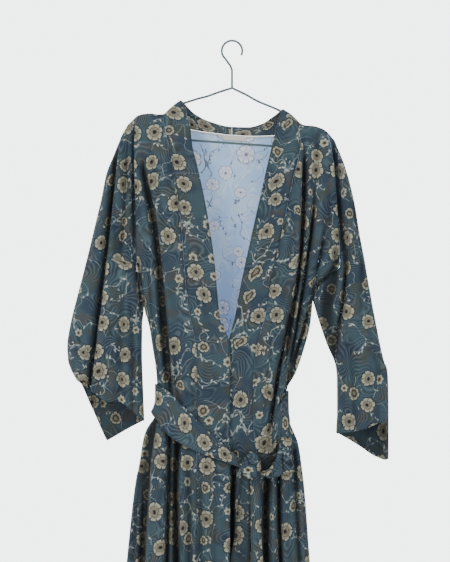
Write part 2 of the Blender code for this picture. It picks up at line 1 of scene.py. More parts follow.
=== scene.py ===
# The looks of a cotton kimono robe on a coated wire hanger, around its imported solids.
# Tables are in millimetres, in the solids' own frame: the front faces -Y, the rail is the origin.
# Left and right are the viewer's.

import math

import bpy
import numpy as np
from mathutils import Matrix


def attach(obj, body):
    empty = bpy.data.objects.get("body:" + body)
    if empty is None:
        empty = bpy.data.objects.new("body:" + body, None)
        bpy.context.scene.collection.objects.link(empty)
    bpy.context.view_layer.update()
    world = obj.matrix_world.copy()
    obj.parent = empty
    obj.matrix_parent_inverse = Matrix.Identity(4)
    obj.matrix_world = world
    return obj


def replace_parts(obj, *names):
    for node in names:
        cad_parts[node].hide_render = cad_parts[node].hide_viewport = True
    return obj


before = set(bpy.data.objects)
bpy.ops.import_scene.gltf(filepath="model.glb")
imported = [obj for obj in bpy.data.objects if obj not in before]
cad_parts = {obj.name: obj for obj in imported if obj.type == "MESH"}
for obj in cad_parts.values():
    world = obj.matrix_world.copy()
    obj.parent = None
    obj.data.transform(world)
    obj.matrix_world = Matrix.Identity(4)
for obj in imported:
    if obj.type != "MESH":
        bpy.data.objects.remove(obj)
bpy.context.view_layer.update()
mm = 0.001

viewSettings = {
    "distance": 2300.0,  # from the hanger's plane to the lens
    "aimX": -14.35,
    "aimZ": -490.65,
    "pictureWidth": 922.5,  # where the robe hangs
    "sensor": 36.0,
}


def addCamera(settings):
    data = bpy.data.cameras.new("view")
    camera = bpy.data.objects.new("view", data)
    bpy.context.scene.collection.objects.link(camera)
    data.sensor_fit = "HORIZONTAL"
    data.sensor_width = settings["sensor"]
    data.lens = settings["sensor"] * settings["distance"] / settings["pictureWidth"]
    camera.location = (settings["aimX"] * mm, -settings["distance"] * mm, settings["aimZ"] * mm)
    camera.rotation_euler = (math.pi / 2, 0.0, 0.0)
    bpy.context.scene.camera = camera


addCamera(viewSettings)
print("camera placed")


# Curves through short tables


def table(columns, *rows):
    return {name: np.array([row[i] for row in rows], float) for i, name in enumerate(columns.split())}


def through(knots, values):  # a smooth curve through the values that never overshoots them
    order = np.argsort(knots)
    x, y = np.asarray(knots, float)[order], np.asarray(values, float)[order]
    step = np.diff(x)
    slope = np.diff(y) / step
    before, after = slope[:-1], slope[1:]
    sameWay = before * after > 0
    total = np.where(sameWay, before + after, 1.0)
    bend = np.where(sameWay, 2 * before * after / total, 0.0)
    tangent = np.concatenate([slope[:1], bend, slope[-1:]])

    def at(t):
        t = np.clip(t, x[0], x[-1])
        i = np.clip(np.searchsorted(x, t, side="right") - 1, 0, len(step) - 1)
        f = (t - x[i]) / step[i]
        start = y[i] * (1 + 2 * f) * (1 - f) ** 2 + step[i] * tangent[i] * f * (1 - f) ** 2
        end = y[i + 1] * (3 - 2 * f) * f**2 - step[i] * tangent[i + 1] * f**2 * (1 - f)
        return start + end

    return at


def column(rows, key, value):
    return through(rows[key], rows[value])


def evenly(rows):  # a curve for each column, with its rows at equal steps from 0 to 1
    steps = np.linspace(0, 1, len(next(iter(rows.values()))))
    return {name: through(steps, values) for name, values in rows.items()}


def ease(t):
    t = np.clip(t, 0.0, 1.0)
    return t * t * (3 - 2 * t)


# The body: its outline, how far it stands from the hanger, and its folds

body = {
    "hem": -1374.0,
    "seamGap": 0.2,  # half of the gap that two pieces keep at a seam
    "armholeDepth": 15.0,
    "armholeTop": 195.0,
    "armholes": {-1: (-152.5, -470.0), 1: (-185.0, -457.0)},  # top and bottom of the left and right one
    "shoulderFall": 90.0,  # drop over which the cloth fills out below the shoulder line
    "ridgeFall": 25.0,  # drop over which the round of the shoulder line reaches the armhole
    "ridgeEnd": 0.85,
    "sideCurve": 0.4,  # how squarely the section turns in at the sides
    "overlap": 5.5,  # how far the right front lies behind the left one
    "overlapFrom": (62.0, -545.0),
    "overlapOver": (45.0, 50.0),
    "foldLimit": 0.72,  # the share of the hollow that a fold may take
    "foldFade": 45.0,
    "foldLean": 0.75,  # how much narrower the steep side of a leaning fold is
    "wall": 0.7,
    "bandWall": 1.6,
    "rows": 170,
    "rowCrowding": 1.6,  # more than 1 sets the rows closer at the top
    "topFade": 6,  # how soon the rows leave the shape of the top line
    "frontColumns": 96,
    "shoulderColumns": 44,
    "bandColumns": 16,
    "neckRows": 44,
    "neckFrom": 0.16,  # where along the neck its rows begin
}
hem, seamGap = body["hem"], body["seamGap"]

ridgeTable = table(
    "x z",
    (-207, -162), (-195, -152.5), (-180, -148), (-165, -147), (-153, -149), (-141, -148.5), (-129, -138),
    (-104.5, -120), (-60, -109), (0, -92), (60, -119), (104, -138), (122, -149.5), (133, -160),
    (142, -168.5), (152, -171.5), (163, -172), (183, -177.5), (195, -185), (207, -197),
)
sideTable = table(
    "z left right",
    (-150, -195, 195), (-152.5, -195, 195), (-185, -199, 195), (-220, -200, 203), (-257, -199.5, 209),
    (-325, -197, 213.5), (-376, -195.5, 217), (-457, -195, 221), (-470, -195, 210), (-483, -193, 194),
    (-509, -188.5, 170), (-530, -184, 166), (-556, -178, 163.5), (-583, -170, 160), (-620, -164, 150.7),
    (-683, -155, 129), (-715, -153.5, 112), (-757, -154, 112.5), (-770, -159, 114), (-790, -173, 122),
    (-805, -179.5, 129), (-820, -183, 135), (-857, -189, 141.5), (-920, -200, 149), (-1040, -213, 158),
    (hem, -246, 185),
)
depthTable = table(
    "z front back",
    (-150, 38, 35), (-400, 42, 36), (-560, 45, 37), (-650, 47, 38), (-735, 42, 37), (-830, 47, 40),
    (-950, 54, 45), (hem, 66, 58),
)
bandTables = {
    -1: table(
        "z edge seam",
        (-120, -104.5, -141), (-148.5, -94, -141), (-175, -86, -138), (-220, -80.5, -129),
        (-249, -73.5, -123), (-310, -59.5, -113), (-370, -48, -104.5), (-450, -36, -98),
        (-519, -29.5, -92), (-569, -24.6, -84), (-612, -6, -75), (-650, -4, -71), (-1000, -4, -71),
        (hem, -8, -74),
    ),
    1: table(
        "z edge seam",
        (-138, 104, 142), (-168.5, 93, 142), (-189, 89, 141), (-243, 76, 135), (-304, 62, 121),
        (-370, 47, 107), (-429, 33.6, 94), (-519, 14, 75), (-569, 5, 66), (-601, -4, 56), (-650, -14, 46),
        (-700, -20, 42), (-800, -20, 44), (-870, -20, 56), (-930, -18, 60), (-1040, -18, 58),
        (hem, -26, 46),
    ),
}
backNeck = table(
    "x z",
    (-141, -148.5), (-131, -163), (-93, -176), (-50, -182.5), (0, -188), (50, -190.5), (88, -189.5),
    (130, -182), (142, -168.5),
)
neckEdge = table(
    "x y z",
    (-104.5, 0, -120), (-102, 5, -121.5), (-95, 14, -128), (-80, 28, -142), (-47, 46, -158),
    (-4, 54, -168), (35, 52, -169.5), (63.5, 42, -163), (81, 28, -153), (95, 14, -144), (101.5, 5, -139),
    (104, 0, -138),
)

# Folds run through three points. Depth is how far they sink, less than nothing for a ridge,
# width is how far they reach to either side, sharp goes from 0, a soft trough, to 1, a crease,
# and lean goes from -1, steep on the left side, to 1, steep on the right side.
# On the cloth, a fold's depth also darkens the colour there: painted shade in the folds.
foldNames = "topX topZ midX midZ lowX lowZ depth width sharp lean"
frontFolds = table(
    foldNames,
    (-180, -262, -154, -392, -124, -712, 32, 13, 0.7, 0.4),
    (-190, -250, -174, -420, -150, -640, -3, 12, 0, 0),
    (-168, -200, -150, -300, -128, -440, 5, 9, 0.4, 0.5),
    (-190, -450, -184, -510, -176, -560, 14, 6, 0.5, 0),
    (-150, -500, -141, -600, -134, -700, 9, 9, 0.5, 0.5),
    (-172, -440, -162, -560, -148, -700, 9, 9, 0.5, -0.4),
    (-122, -440, -110, -600, -102, -730, 5, 12, 0.2, 0.5),
    (-78, -660, -76, -720, -74, -775, 6, 9, 0.3, 0), (-116, -640, -112, -700, -104, -760, 7, 8, 0.3, 0),
    (-129, -215, -104, -370, -86, -560, 7, 10, 0.4, 0.5),
    (134, -235, 106, -370, 74, -530, 6, 9, 0.4, -0.5), (-98, -200, -84, -400, -66, -620, 2.5, 14, 0, 0.4),
    (-40, -560, -36, -640, -30, -740, 3, 12, 0.2, -0.4),
    (147, -235, 142, -400, 109, -650, 28, 11, 0.7, -0.4),
    (121, -540, 98, -660, 78, -790, 24, 10, 0.8, 0.4),
    (168, -330, 148, -480, 113, -690, 24, 9, 0.8, -0.3), (157, -300, 147, -430, 124, -590, -5, 7, 0.2, 0),
    (176, -190, 172, -260, 160, -360, 7, 10, 0.4, 0.5),
    (188, -380, 166, -500, 116, -700, 14, 8, 0.6, -0.4), (152, -560, 128, -650, 108, -730, 12, 7, 0.7, 0),
    (142, -600, 121, -670, 100, -740, 10, 6, 0.7, 0.3),
    (200, -300, 196, -380, 184, -450, 8, 10, 0.4, 0.5),
    (128, -300, 122, -420, 100, -560, 4, 10, 0.3, 0.5), (208, -428, 192, -448, 166, -482, -4, 10, 0, 0),
    (213, -458, 196, -478, 172, -503, 26, 9, 0.4, 0.3), (212, -446, 209, -458, 206, -468, 22, 9, 0.2, 0),
    (60, -580, 50, -680, 44, -780, 5, 12, 0.3, 0.3), (88, -520, 76, -640, 66, -780, 5, 10, 0.3, -0.3),
    (-157, -775, -170, -860, -194, hem, 34, 14, 0.5, 0.3),
    (-126, -775, -128, -880, -136, hem, 24, 10, 0.4, 0),
    (-107, -800, -113, -900, -100, hem, 34, 14, 0.6, 0.3),
    (-88, -850, -85, -960, -84, hem, 13, 12, 0.2, 0.4),
    (-182, -850, -196, -980, -218, hem, 14, 14, 0.3, 0), (-144, -860, -150, -960, -160, hem, -4, 9, 0, 0),
    (-62, -880, -62, -980, -60, hem, 12, 12, 0.3, 0.4), (-33, -890, -36, -990, -38, hem, 8, 11, 0.3, 0.3),
    (69, -872, 66, -970, 70, hem, 32, 14, 0.5, -0.3), (95, -868, 96, -970, 118, hem, 30, 10, 0.8, 0.3),
    (82, -880, 82, -980, 92, hem, -4, 8, 0, 0), (125, -820, 131, -940, 150, hem, 15, 12, 0.3, 0.3),
    (111, -900, 116, -1010, 134, hem, 6, 10, 0.3, 0), (143, -880, 147, -990, 170, hem, 7, 10, 0.3, 0),
)
openingFold = table(foldNames, (5, -850, 0, -940, -6, hem, 30, 10, 0.3, 0))
backFolds = table(
    foldNames,
    (-150, -300, -130, -520, -104, -690, 18, 22, 0.2, 0),
    (-60, -420, -52, -560, -44, -700, 12, 20, 0.2, 0), (60, -400, 48, -560, 34, -700, 14, 20, 0.2, 0),
    (165, -330, 132, -520, 84, -690, 10, 26, 0.1, 0), (-104, -480, -88, -600, -72, -720, 8, 14, 0.3, 0),
    (4, -470, 2, -600, -4, -720, 9, 16, 0.2, 0), (104, -480, 84, -600, 60, -710, 8, 14, 0.3, 0),
    (-170, -230, -150, -280, -112, -330, 3, 12, 0, 0), (176, -250, 140, -300, 90, -340, 3, 14, 0, 0),
    (-30, -250, -26, -340, -32, -430, 2.5, 18, 0, 0), (-118, -760, -130, -900, -160, hem, 24, 22, 0.2, 0),
    (-58, -760, -66, -900, -82, hem, 22, 22, 0.2, 0), (2, -760, 0, -900, -8, hem, 24, 24, 0.2, 0),
    (52, -760, 58, -900, 66, hem, 22, 22, 0.2, 0), (92, -760, 104, -900, 134, hem, 18, 20, 0.2, 0),
    (-88, -790, -98, -900, -122, hem, 8, 12, 0.3, 0), (-28, -780, -32, -920, -42, hem, 7, 12, 0.3, 0),
    (28, -790, 30, -900, 30, hem, 8, 12, 0.3, 0), (74, -790, 82, -900, 102, hem, 7, 11, 0.3, 0),
    (-150, -800, -166, -930, -200, hem, 9, 13, 0.2, 0),
)

ridge = column(ridgeTable, "x", "z")
sideX = {-1: column(sideTable, "z", "left"), 1: column(sideTable, "z", "right")}
depthFront = column(depthTable, "z", "front")
depthBack = column(depthTable, "z", "back")
neckLine = column(backNeck, "x", "z")


def armholeHalf(side, z):
    top, bottom = body["armholes"][side]
    share = np.clip((top - z) / (top - bottom), 0.0, 1.0)
    return body["armholeDepth"] * np.sin(math.pi * share)


def envelope(x, z, depth):  # how far the cloth stands from the hanger's plane, before its folds
    left, right = sideX[-1](z) + seamGap, sideX[1](z) - seamGap
    place = np.clip((2 * x - left - right) / (right - left), -1.0, 1.0)
    below = np.maximum(ridge(x) - z, 0.0)
    full = depth(z) * np.sqrt(1 - np.exp(-below / body["shoulderFall"]))
    hole = np.where(x < 0, armholeHalf(-1, z), armholeHalf(1, z))
    openEnd = body["ridgeEnd"] * np.exp(-below / body["ridgeFall"])
    return hole + np.maximum(full - hole, 0.0) * (1 - (1 - openEnd) * place**2) ** body["sideCurve"]


def foldDepth(folds, x, z):
    total = np.zeros_like(x + z)
    fade = body["foldFade"]
    for topX, topZ, midX, midZ, lowX, lowZ, depth, width, sharp, lean in zip(*folds.values()):
        line = through([lowZ, midZ, topZ], [lowX, midX, topX])
        aside = x - line(z)
        reach = width * (1 - body["foldLean"] * lean * np.sign(aside))
        across = np.clip(1 - np.abs(aside) / reach, 0.0, 1.0)
        start, end = ease((topZ + fade - z) / (2 * fade)), ease((z - lowZ + fade) / (2 * fade))
        profile = (1 - sharp) * ease(across) + sharp * across**2
        total = total + depth * profile * start * (1.0 if lowZ <= hem else end)
    return total


def frontY(x, z, behind=False):
    plain = envelope(x, z, depthFront)
    sunk = foldDepth(frontFolds, x, z)
    if behind:
        sunk = sunk + foldDepth(openingFold, x, z)
    y = -seamGap - plain + np.minimum(sunk, body["foldLimit"] * plain)
    if behind:
        (fromX, fromZ), (overX, overZ) = body["overlapFrom"], body["overlapOver"]
        y = y + body["overlap"] * ease((fromX - x) / overX) * ease((fromZ - z) / overZ)
    return y


def backY(x, z):
    plain = envelope(x, z, depthBack)
    return seamGap + plain - np.minimum(foldDepth(backFolds, x, z), body["foldLimit"] * plain)


def hang(topX, topLine, xOf):  # rows share their drop, columns their place along the top line
    down = np.linspace(0, 1, body["rows"])[:, None] ** body["rowCrowding"]
    top = topLine(topX)[None, :]
    z = top + (hem - top) * down
    x = xOf(z)
    return x, z + (topLine(x) - top) * (1 - down) ** body["topFade"]


def frontPanel(side):
    seam = column(bandTables[side], "z", "seam")
    share = np.sin(np.linspace(0, math.pi / 2, body["frontColumns"]))
    innerTop, outerTop = bandTables[side]["seam"][0], side * body["armholeTop"]

    def xOf(z):
        inner = seam(z[:, :1]) + side * seamGap
        outer = sideX[side](z[:, -1:]) - side * seamGap
        return inner + (outer - inner) * share

    x, z = hang(innerTop + (outerTop - innerTop) * share, ridge, xOf)
    points = np.stack([x, frontY(x, z, behind=side > 0), z], axis=-1)
    points[0, :, 1] = -seamGap
    return points


def neckPlaces(start):  # from near the start to the middle of the neck
    return start - start * np.linspace(body["neckFrom"], 1, body["neckRows"]) ** 2


def backPanel():
    first, last, top = backNeck["x"][0], backNeck["x"][-1], body["armholeTop"]
    shoulder = np.sin(np.linspace(0, math.pi / 2, body["shoulderColumns"]))
    left = -top + (first + top) * (1 - shoulder[::-1])
    right = top + (last - top) * (1 - shoulder)
    topX = np.concatenate([left, neckPlaces(first), neckPlaces(last)[-2::-1], right])
    share = (topX + top) / (2 * top)

    def topLine(x):
        return np.where((x > first) & (x < last), neckLine(x), ridge(x))

    def xOf(z):
        left, right = sideX[-1](z[:, :1]), sideX[1](z[:, -1:])
        return np.clip(left + (right - left) * share, left + seamGap, right - seamGap)

    x, z = hang(topX, topLine, xOf)
    y = backY(x, z)
    y[0] = np.where((x[0] <= first) | (x[0] >= last), seamGap, y[0])
    return np.stack([x, y, z], axis=-1)


def band(side):  # down one front, and round the back neck to its middle
    rows = bandTables[side]
    edge, seam = column(rows, "z", "edge"), column(rows, "z", "seam")
    across = np.linspace(0, 1, body["bandColumns"])
    tops = rows["seam"][0] + (rows["edge"][0] - rows["seam"][0]) * across

    def xOf(z):
        inner = seam(z[:, :1]) - side * seamGap
        return inner + (edge(z[:, -1:]) - inner) * across

    x, z = hang(tops, ridge, xOf)
    front = np.stack([x, frontY(x, z, behind=side > 0), z], axis=-1)[::-1]
    front[-1, :, 1] = 0.0

    seamX = neckPlaces(backNeck["x"][0 if side < 0 else -1])[:, None]
    seamZ = neckLine(seamX)
    seamLine = np.concatenate([seamX, backY(seamX, seamZ), seamZ + 2 * seamGap], axis=1)
    edgeX = neckPlaces(rows["edge"][0])[:, None]
    edgeY, edgeZ = column(neckEdge, "x", "y")(edgeX), column(neckEdge, "x", "z")(edgeX)
    edgeLine = np.concatenate([edgeX, edgeY, edgeZ], axis=1)
    seamLine[-1, 0] = edgeLine[-1, 0] = side * seamGap
    back = seamLine[:, None, :] + (edgeLine - seamLine)[:, None, :] * across[None, :, None]
    return np.concatenate([front, back])


# The sleeves: a row for each section from the shoulder to the cuff. The outer end is the top fold,
# the inner end is the armhole and then the underarm seam, and depth is half the section's thickness.

sleeves = {
    "rows": 150,
    "rowCrowding": 1.1,
    "halfColumns": 68,
    "closeOver": 40.0,  # drop over which the armhole gives way to the underarm seam
    "swellPeak": 0.55,
    "openSwell": 0.6,
    "capFall": 60.0,  # drop over which a sleeve fills out below the shoulder line
    "cuffStart": 0.55,
    "tuck": 1.6,  # how far the underarm edge lies against the body's side
    "tuckOver": 8.0,
    "behindShare": 0.35,  # the back of a sleeve repeats its folds more faintly
    "wall": 0.7,
    "liningRows": 40,
    "liningMargin": 6,
    "liningIn": 1.45,
    "liningWall": 0.6,
}
sleeveTables = {
    -1: table(
        "outerX outerZ innerX innerZ depth",
        (-213, -170, -195, -152.5, 14), (-226, -193.5, -199, -185, 16), (-242, -232, -199.7, -230, 18),
        (-257, -271, -198.7, -277, 20), (-268.5, -325, -196.8, -330, 22), (-278, -364, -195.5, -376, 23),
        (-290, -415, -195, -425, 25), (-303, -468, -193, -470, 27), (-316, -518, -184.5, -521, 29),
        (-323, -545, -180.5, -549, 30), (-330, -574, -183.5, -581, 31), (-337.5, -622, -184.2, -640, 32),
        (-336, -652, -181.8, -715, 32), (-330.7, -669, -179.5, -777, 32),
    ),
    1: table(
        "outerX outerZ innerX innerZ depth",
        (211, -203.7, 195, -185, 14), (221, -229.5, 202, -217, 16), (232, -257.5, 208.5, -254, 18),
        (243, -297, 212.4, -303, 20), (252, -339, 215, -350, 22), (260.5, -392, 218.7, -400, 23),
        (271.5, -447.5, 221.5, -458, 26), (277.5, -483, 180, -487, 28), (282.5, -510, 162, -513, 29),
        (288, -540, 170, -546, 30), (297, -583, 184, -591, 31), (304, -620, 194.3, -620, 32),
        (314, -667, 212, -664, 33), (320.2, -690, 215, -692, 34), (320.6, -750, 215.3, -755, 35),
        (320.6, -808, 213.2, -802, 35),
    ),
}
# How far the cuff hangs below the straight line, from the top fold (0) to the underarm seam (1)
cuffDrops = {
    -1: table(
        "place front back",
        (0, 0, 0), (0.12, 12, 21), (0.27, 12, 57), (0.43, 12, 95), (0.47, 12, 102), (0.51, 10, 95),
        (0.73, -9, 52), (1, 0, 0),
    ),
    1: table(
        "place front back",
        (0, 48, 48), (0.025, -10, 52), (0.06, -26, 52), (0.14, -29, 50), (0.25, -27, 46), (0.5, -15, 30),
        (1, 0, 0),
    ),
}
sleeveFolds = {
    -1: table(
        foldNames,
        (-231, -205, -251, -400, -292, -740, 25, 12, 1, 0.9),
        (-212, -215, -218, -330, -228, -450, 12, 12, 0.5, 0.6),
        (-243, -420, -252, -560, -262, -700, -3, 14, 0, 0),
        (-222, -500, -226, -620, -228, -755, 10, 13, 0.3, 0.5),
        (-206, -540, -203, -660, -203, -780, 10, 9, 0.4, -0.3),
        (-300, -560, -312, -620, -322, -680, 5, 9, 0.3, 0),
        (-262, -300, -278, -370, -294, -460, 5, 9, 0.3, 0.5),
        (-250, -620, -262, -690, -276, -760, 7, 12, 0.3, 0.4),
        (-202, -190, -203, -280, -201, -420, 20, 8, 0.6, -0.4),
        (-199, -440, -191, -500, -184, -560, 18, 6, 0.5, 0),
        (-240, -260, -236, -350, -236, -440, 4, 9, 0.3, -0.5),
    ),
    1: table(
        foldNames,
        (207, -210, 222, -370, 232, -456, 28, 11, 0.7, -0.5),
        (233, -456, 229, -510, 210, -640, 22, 10, 0.7, 0.4),
        (222, -300, 234, -380, 246, -450, -3, 8, 0, 0), (246, -330, 262, -440, 276, -560, 7, 9, 0.4, 0.6),
        (214, -470, 206, -505, 190, -560, 14, 9, 0.5, 0), (223, -462, 219, -500, 206, -560, -3, 8, 0, 0),
        (268, -560, 286, -620, 300, -690, 6, 12, 0.3, 0.4),
        (236, -600, 246, -680, 252, -800, 9, 14, 0.3, -0.4),
        (296, -660, 298, -730, 298, -820, 5, 10, 0.3, 0),
        (262, -470, 262, -530, 256, -600, 7, 10, 0.4, 0.4),
        (228, -230, 240, -300, 252, -380, 6, 9, 0.4, 0.5),
        (206, -470, 194, -540, 208, -650, 19, 26, 0, 0),
        (213, -458, 196, -478, 172, -503, 26, 9, 0.4, 0.3),
        (214, -446, 211, -458, 208, -466, 26, 10, 0.2, 0),
    ),
}


def sleeve(side):  # each row runs from the front armhole round the top fold to the back armhole
    at = evenly(sleeveTables[side])
    down = np.linspace(0, 1, sleeves["rows"])[:, None] ** sleeves["rowCrowding"]
    place = np.linspace(0, 1, sleeves["halfColumns"] + 1)
    innerZ, outerZ = at["innerZ"](down), at["outerZ"](down)
    underarm = body["armholes"][side][1]
    isOpen = ease((innerZ - underarm) / sleeves["closeOver"])
    closedShare = (1 - np.cos(math.pi * place)) / 2
    sine, cosine = np.sin(math.pi / 2 * place), np.cos(math.pi / 2 * place)
    outShare = closedShare + (sine - closedShare) * isOpen
    drop = cuffDrops[side]
    curve = 2 * body["sideCurve"]
    halves = []
    for name, sign, depth in (("front", -1, depthFront), ("back", 1, depthBack)):
        bodyX = sideX[side](innerZ)
        tucked = sleeves["tuck"] * ease((underarm - innerZ) / sleeves["tuckOver"])
        innerX = side * (np.maximum(side * at["innerX"](down), side * bodyX - tucked) + seamGap)
        x = innerX + (at["outerX"](down) - innerX) * outShare
        z = innerZ + (outerZ - innerZ) * outShare
        low = ease((down - sleeves["cuffStart"]) / (1 - sleeves["cuffStart"]))
        z = z - low * through(drop["place"], drop[name])(1 - outShare)
        hole = envelope(bodyX, innerZ, depth) * (isOpen > 0)
        below = np.maximum(z[:1] - z, 0)
        full = at["depth"](down) * np.sqrt(1 - np.exp(-below / sleeves["capFall"]))
        swell = sine ** (curve + sleeves["openSwell"] * isOpen) * cosine**curve
        y = hole * cosine + full * swell / sleeves["swellPeak"]
        share = 1.0 if sign < 0 else sleeves["behindShare"]
        y = y - np.minimum(share * foldDepth(sleeveFolds[side], x, z), body["foldLimit"] * y)
        y[0] = 0
        y = sign * (y + seamGap * (place < 1))
        halves.append(np.stack([x, y, z], axis=-1))
    return np.concatenate([halves[0], halves[1][:, ::-1][:, 1:]], axis=1)


# The belt, its half bow, its two ends and its knot

beltShape = {
    "out": 4.4,  # from the body's cloth
    "wall": 1.5,
    "rows": 280,
    "columns": 18,
    "sideRows": (-320.0, -20.0, 8.0),  # between these angles, rows shift by up to 8 degrees to the sides
    "pleatedFrom": ((-42.0, 40.0), (-296.0, 24.0)),  # angles where it gathers to the knot, and over how much
    "pleats": (4.6, 0.6, 1.3),  # half turns, start and height
    "lift": 1.2,  # how far it rises where it gathers
    "sag": (5.0, 0.7),  # waves round it and their depth
    "flare": (-90.0, 26.0, 8.0),  # where its lower edge stands out, over how much and how far
    "shadeAngles": ((-88.0, 14.0), (-328.0, -272.0)),  # the parts of it that lie on the fronts
    "shadeEdges": ((-1, 15.0, 17.0), (1, 8.0, 6.0)),  # below and above: how deep and how wide its shade is
    "shadeUnder": 12.0,  # how far it goes on under the belt
}
beltTable = table(
    "angle z half",
    (16, -858, 9), (7, -844, 13), (-2, -827, 21), (-19, -801, 29), (-37, -773, 34), (-50, -753, 36),
    (-68, -737, 32), (-90, -730, 28), (-135, -738, 28), (-180, -745, 28), (-225, -748, 28),
    (-270, -744, 28), (-290, -758, 31), (-302, -777, 33), (-310, -803, 34), (-317, -833, 29),
    (-324, -853, 19), (-331, -862, 10),
)


def around(angle, z, out):
    sine, cosine = np.sin(np.radians(angle)), np.cos(np.radians(angle))
    left, right = sideX[-1](z) - out, sideX[1](z) + out
    x = (left + right) / 2 + (right - left) / 2 * sine
    depth = np.where(cosine > 0, depthFront(z), depthBack(z)) + out
    y = -np.sign(cosine) * depth * np.abs(cosine) ** (2 * body["sideCurve"])
    return x, y - np.sign(cosine) * seamGap, z


def belt():
    steps = np.linspace(beltTable["angle"][0], beltTable["angle"][-1], beltShape["rows"])[:, None]
    low, high, most = beltShape["sideRows"]
    angles = steps + most * np.sin(np.radians(2 * steps)) * ((steps < high) & (steps > low))
    across = np.linspace(-1, 1, beltShape["columns"])[None, :]
    (first, firstOver), (last, lastOver) = beltShape["pleatedFrom"]
    nearKnot = ease((angles - first) / firstOver) + ease((last - angles) / lastOver)
    turns, start, height = beltShape["pleats"]
    pleats = height * np.sin(turns * math.pi * across + start) * nearKnot * (1 - across**2)
    waves, depth = beltShape["sag"]
    sag = depth * np.sin(np.radians(angles) * waves) * (1 - across**2)
    middle, reach, most = beltShape["flare"]
    flare = most * np.maximum(across, 0) ** 2 * np.exp(-(((angles - middle) / reach) ** 2))
    z = column(beltTable, "angle", "z")(angles) - column(beltTable, "angle", "half")(angles) * across
    x, y, z = around(angles, z, beltShape["out"] + flare)
    lift = pleats + sag + beltShape["lift"] * nearKnot
    return np.stack([x, y + np.where(y < 0, -lift, lift), z], axis=-1)


# Painted shadow: the fronts are darkened just below and above the belt.
def besideBelt(points):  # how deep in the belt's shade a point of the front lies
    x, z = points[..., 0], points[..., 2]
    total = np.zeros_like(x)
    for first, last in beltShape["shadeAngles"]:
        angles = np.linspace(first, last, 60)
        middle, half = column(beltTable, "angle", "z")(angles), column(beltTable, "angle", "half")(angles)
        for sign, deep, reach in beltShape["shadeEdges"]:
            edgeX, _, edgeZ = around(angles, middle + sign * half, beltShape["out"])
            away = sign * (z - through(edgeX, edgeZ)(x))
            near = np.where((x > edgeX.min()) & (x < edgeX.max()), 1.0, 0.0)
            near = near * (away > -beltShape["shadeUnder"])
            total = np.maximum(total, deep * near * ease(1 - away / reach))
    return total


bowTable = table(
    "x out top bottom",
    (56, 6, -840, -872), (68, 7, -832, -874), (82, 7.4, -817, -874), (97, 8, -805, -874),
    (110, 9, -802, -874), (120, 13, -808, -872), (112, 18.5, -803, -874), (101, 22, -803, -877),
    (94, 23, -820, -879), (87, 23, -845, -881), (77, 22, -861, -883), (66, 19.5, -869, -881),
    (57, 17.5, -870, -878),
)
bowShape = {
    "wall": 1.0,
    "rows": 140,
    "columns": 28,
    "followTo": 98.0,  # further right than this it stands free of the body
    "turn": (0.42, 0.12, 0.13),  # where it turns to the front, over how much of it, and its tip's reach
    "tip": 9.0,
    "roll": (0.36, 7.0),  # its upper edge rolls forward up to here, and by this much
    "lowerWave": (34.0, 1.6),  # waves and height
    "sideWave": (7.0, 1.2),
    "ripple": (8.0, 13.0, 2.6),  # waves across and along it, and height
    "longCrease": (0.66, 0.10, 17.0, 0.055, 15.0),  # place, wander and its waves, width and depth of shade
    "creases": (  # place, lean, width and depth of shade
        (0.55, 0.05, 0.012, 14), (0.63, -0.07, 0.016, 17), (0.74, 0.06, 0.012, 13), (0.86, -0.04, 0.014, 16),
    ),
    "edgeShade": (0.05, 13.0),  # reach and depth
    "insideShade": (0.3, 19.0),
}


def bowLoop(shape):  # its points, and how deep in shade each one lies
    at = evenly(bowTable)
    along = np.linspace(0, 1, shape["rows"])[:, None]
    across = np.linspace(0, 1, shape["columns"])[None, :]
    turnAt, turnOver, tipReach = shape["turn"]
    inFront = ease((along - turnAt) / turnOver)
    waves, height = shape["lowerWave"]
    bottom = at["bottom"](along) + height * np.sin(along * waves) * inFront
    z = at["top"](along) + (bottom - at["top"](along)) * across
    tip = shape["tip"] * np.exp(-(((along - turnAt) / tipReach) ** 2)) * across**3
    waves, height = shape["sideWave"]
    x = at["x"](along) + tip + height * np.sin(across * waves) * inFront
    acrossWaves, alongWaves, height = shape["ripple"]
    ripple = height * np.sin(across * acrossWaves + along * alongWaves) * inFront * np.sin(math.pi * across)
    rollTo, height = shape["roll"]
    rolled = height * (1 - inFront) * ease(1 - along / rollTo) * (1 - across) ** 4
    base = envelope(np.minimum(x, shape["followTo"]), z, depthFront)

    # Painted shade: crease lines that are only darkening, darker edges, and a darker inside before it turns
    # to the front.
    place, wander, waves, wide, deep = shape["longCrease"]
    creases = deep * np.exp(-(((across - place - wander * np.sin(along * waves)) / wide) ** 2))
    for place, lean, wide, deep in shape["creases"]:
        creases = creases + deep * np.exp(-(((along - place - lean * across) / wide) ** 2))
    reach, deep = shape["edgeShade"]
    edges = deep * np.maximum(np.exp(-across / reach), np.exp(-(1 - across) / reach))
    reach, deep = shape["insideShade"]
    shade = deep * (1 - inFront) * ease(across / reach) + inFront * np.maximum(creases, edges)
    return np.stack([x, -base - at["out"](along) - np.abs(ripple) - rolled, z], axis=-1), shade


tailTables = {
    "tail_left": table(
        "z left right out",
        (-858, 20, 36, 6.1), (-876, 17, 36, 4.9), (-900, 17, 36, 3.6), (-925, 12, 36, 3.6),
        (-1000, 5, 35, 4), (-1040, -2, 35, 4), (-1180, -12, 40, 4),
    ),
    "tail_right": table(
        "z left right out",
        (-858, 36.5, 54, 6.1), (-876, 36.5, 56, 4.9), (-900, 36.5, 57, 3.6), (-1000, 37, 59, 4),
        (-1060, 39, 63, 4), (-1215, 46, 84, 4),
    ),
}
tailShape = {
    "wall": 1.4,
    "rows": 90,
    "columns": 28,
    "fallOver": 60.0,  # drop over which it comes into its own shape below the knot
    "cup": 2.0,
    "crease": (0.35, 0.2, 90.0, 0.09, 1.5),  # place, wander and its length, width and depth
    "shade": {"tail_left": (12.0, 7.0, 8.0), "tail_right": (2.0, 0.0, 12.0)},  # all over, and at each edge
    "edgeReach": 0.12,
}


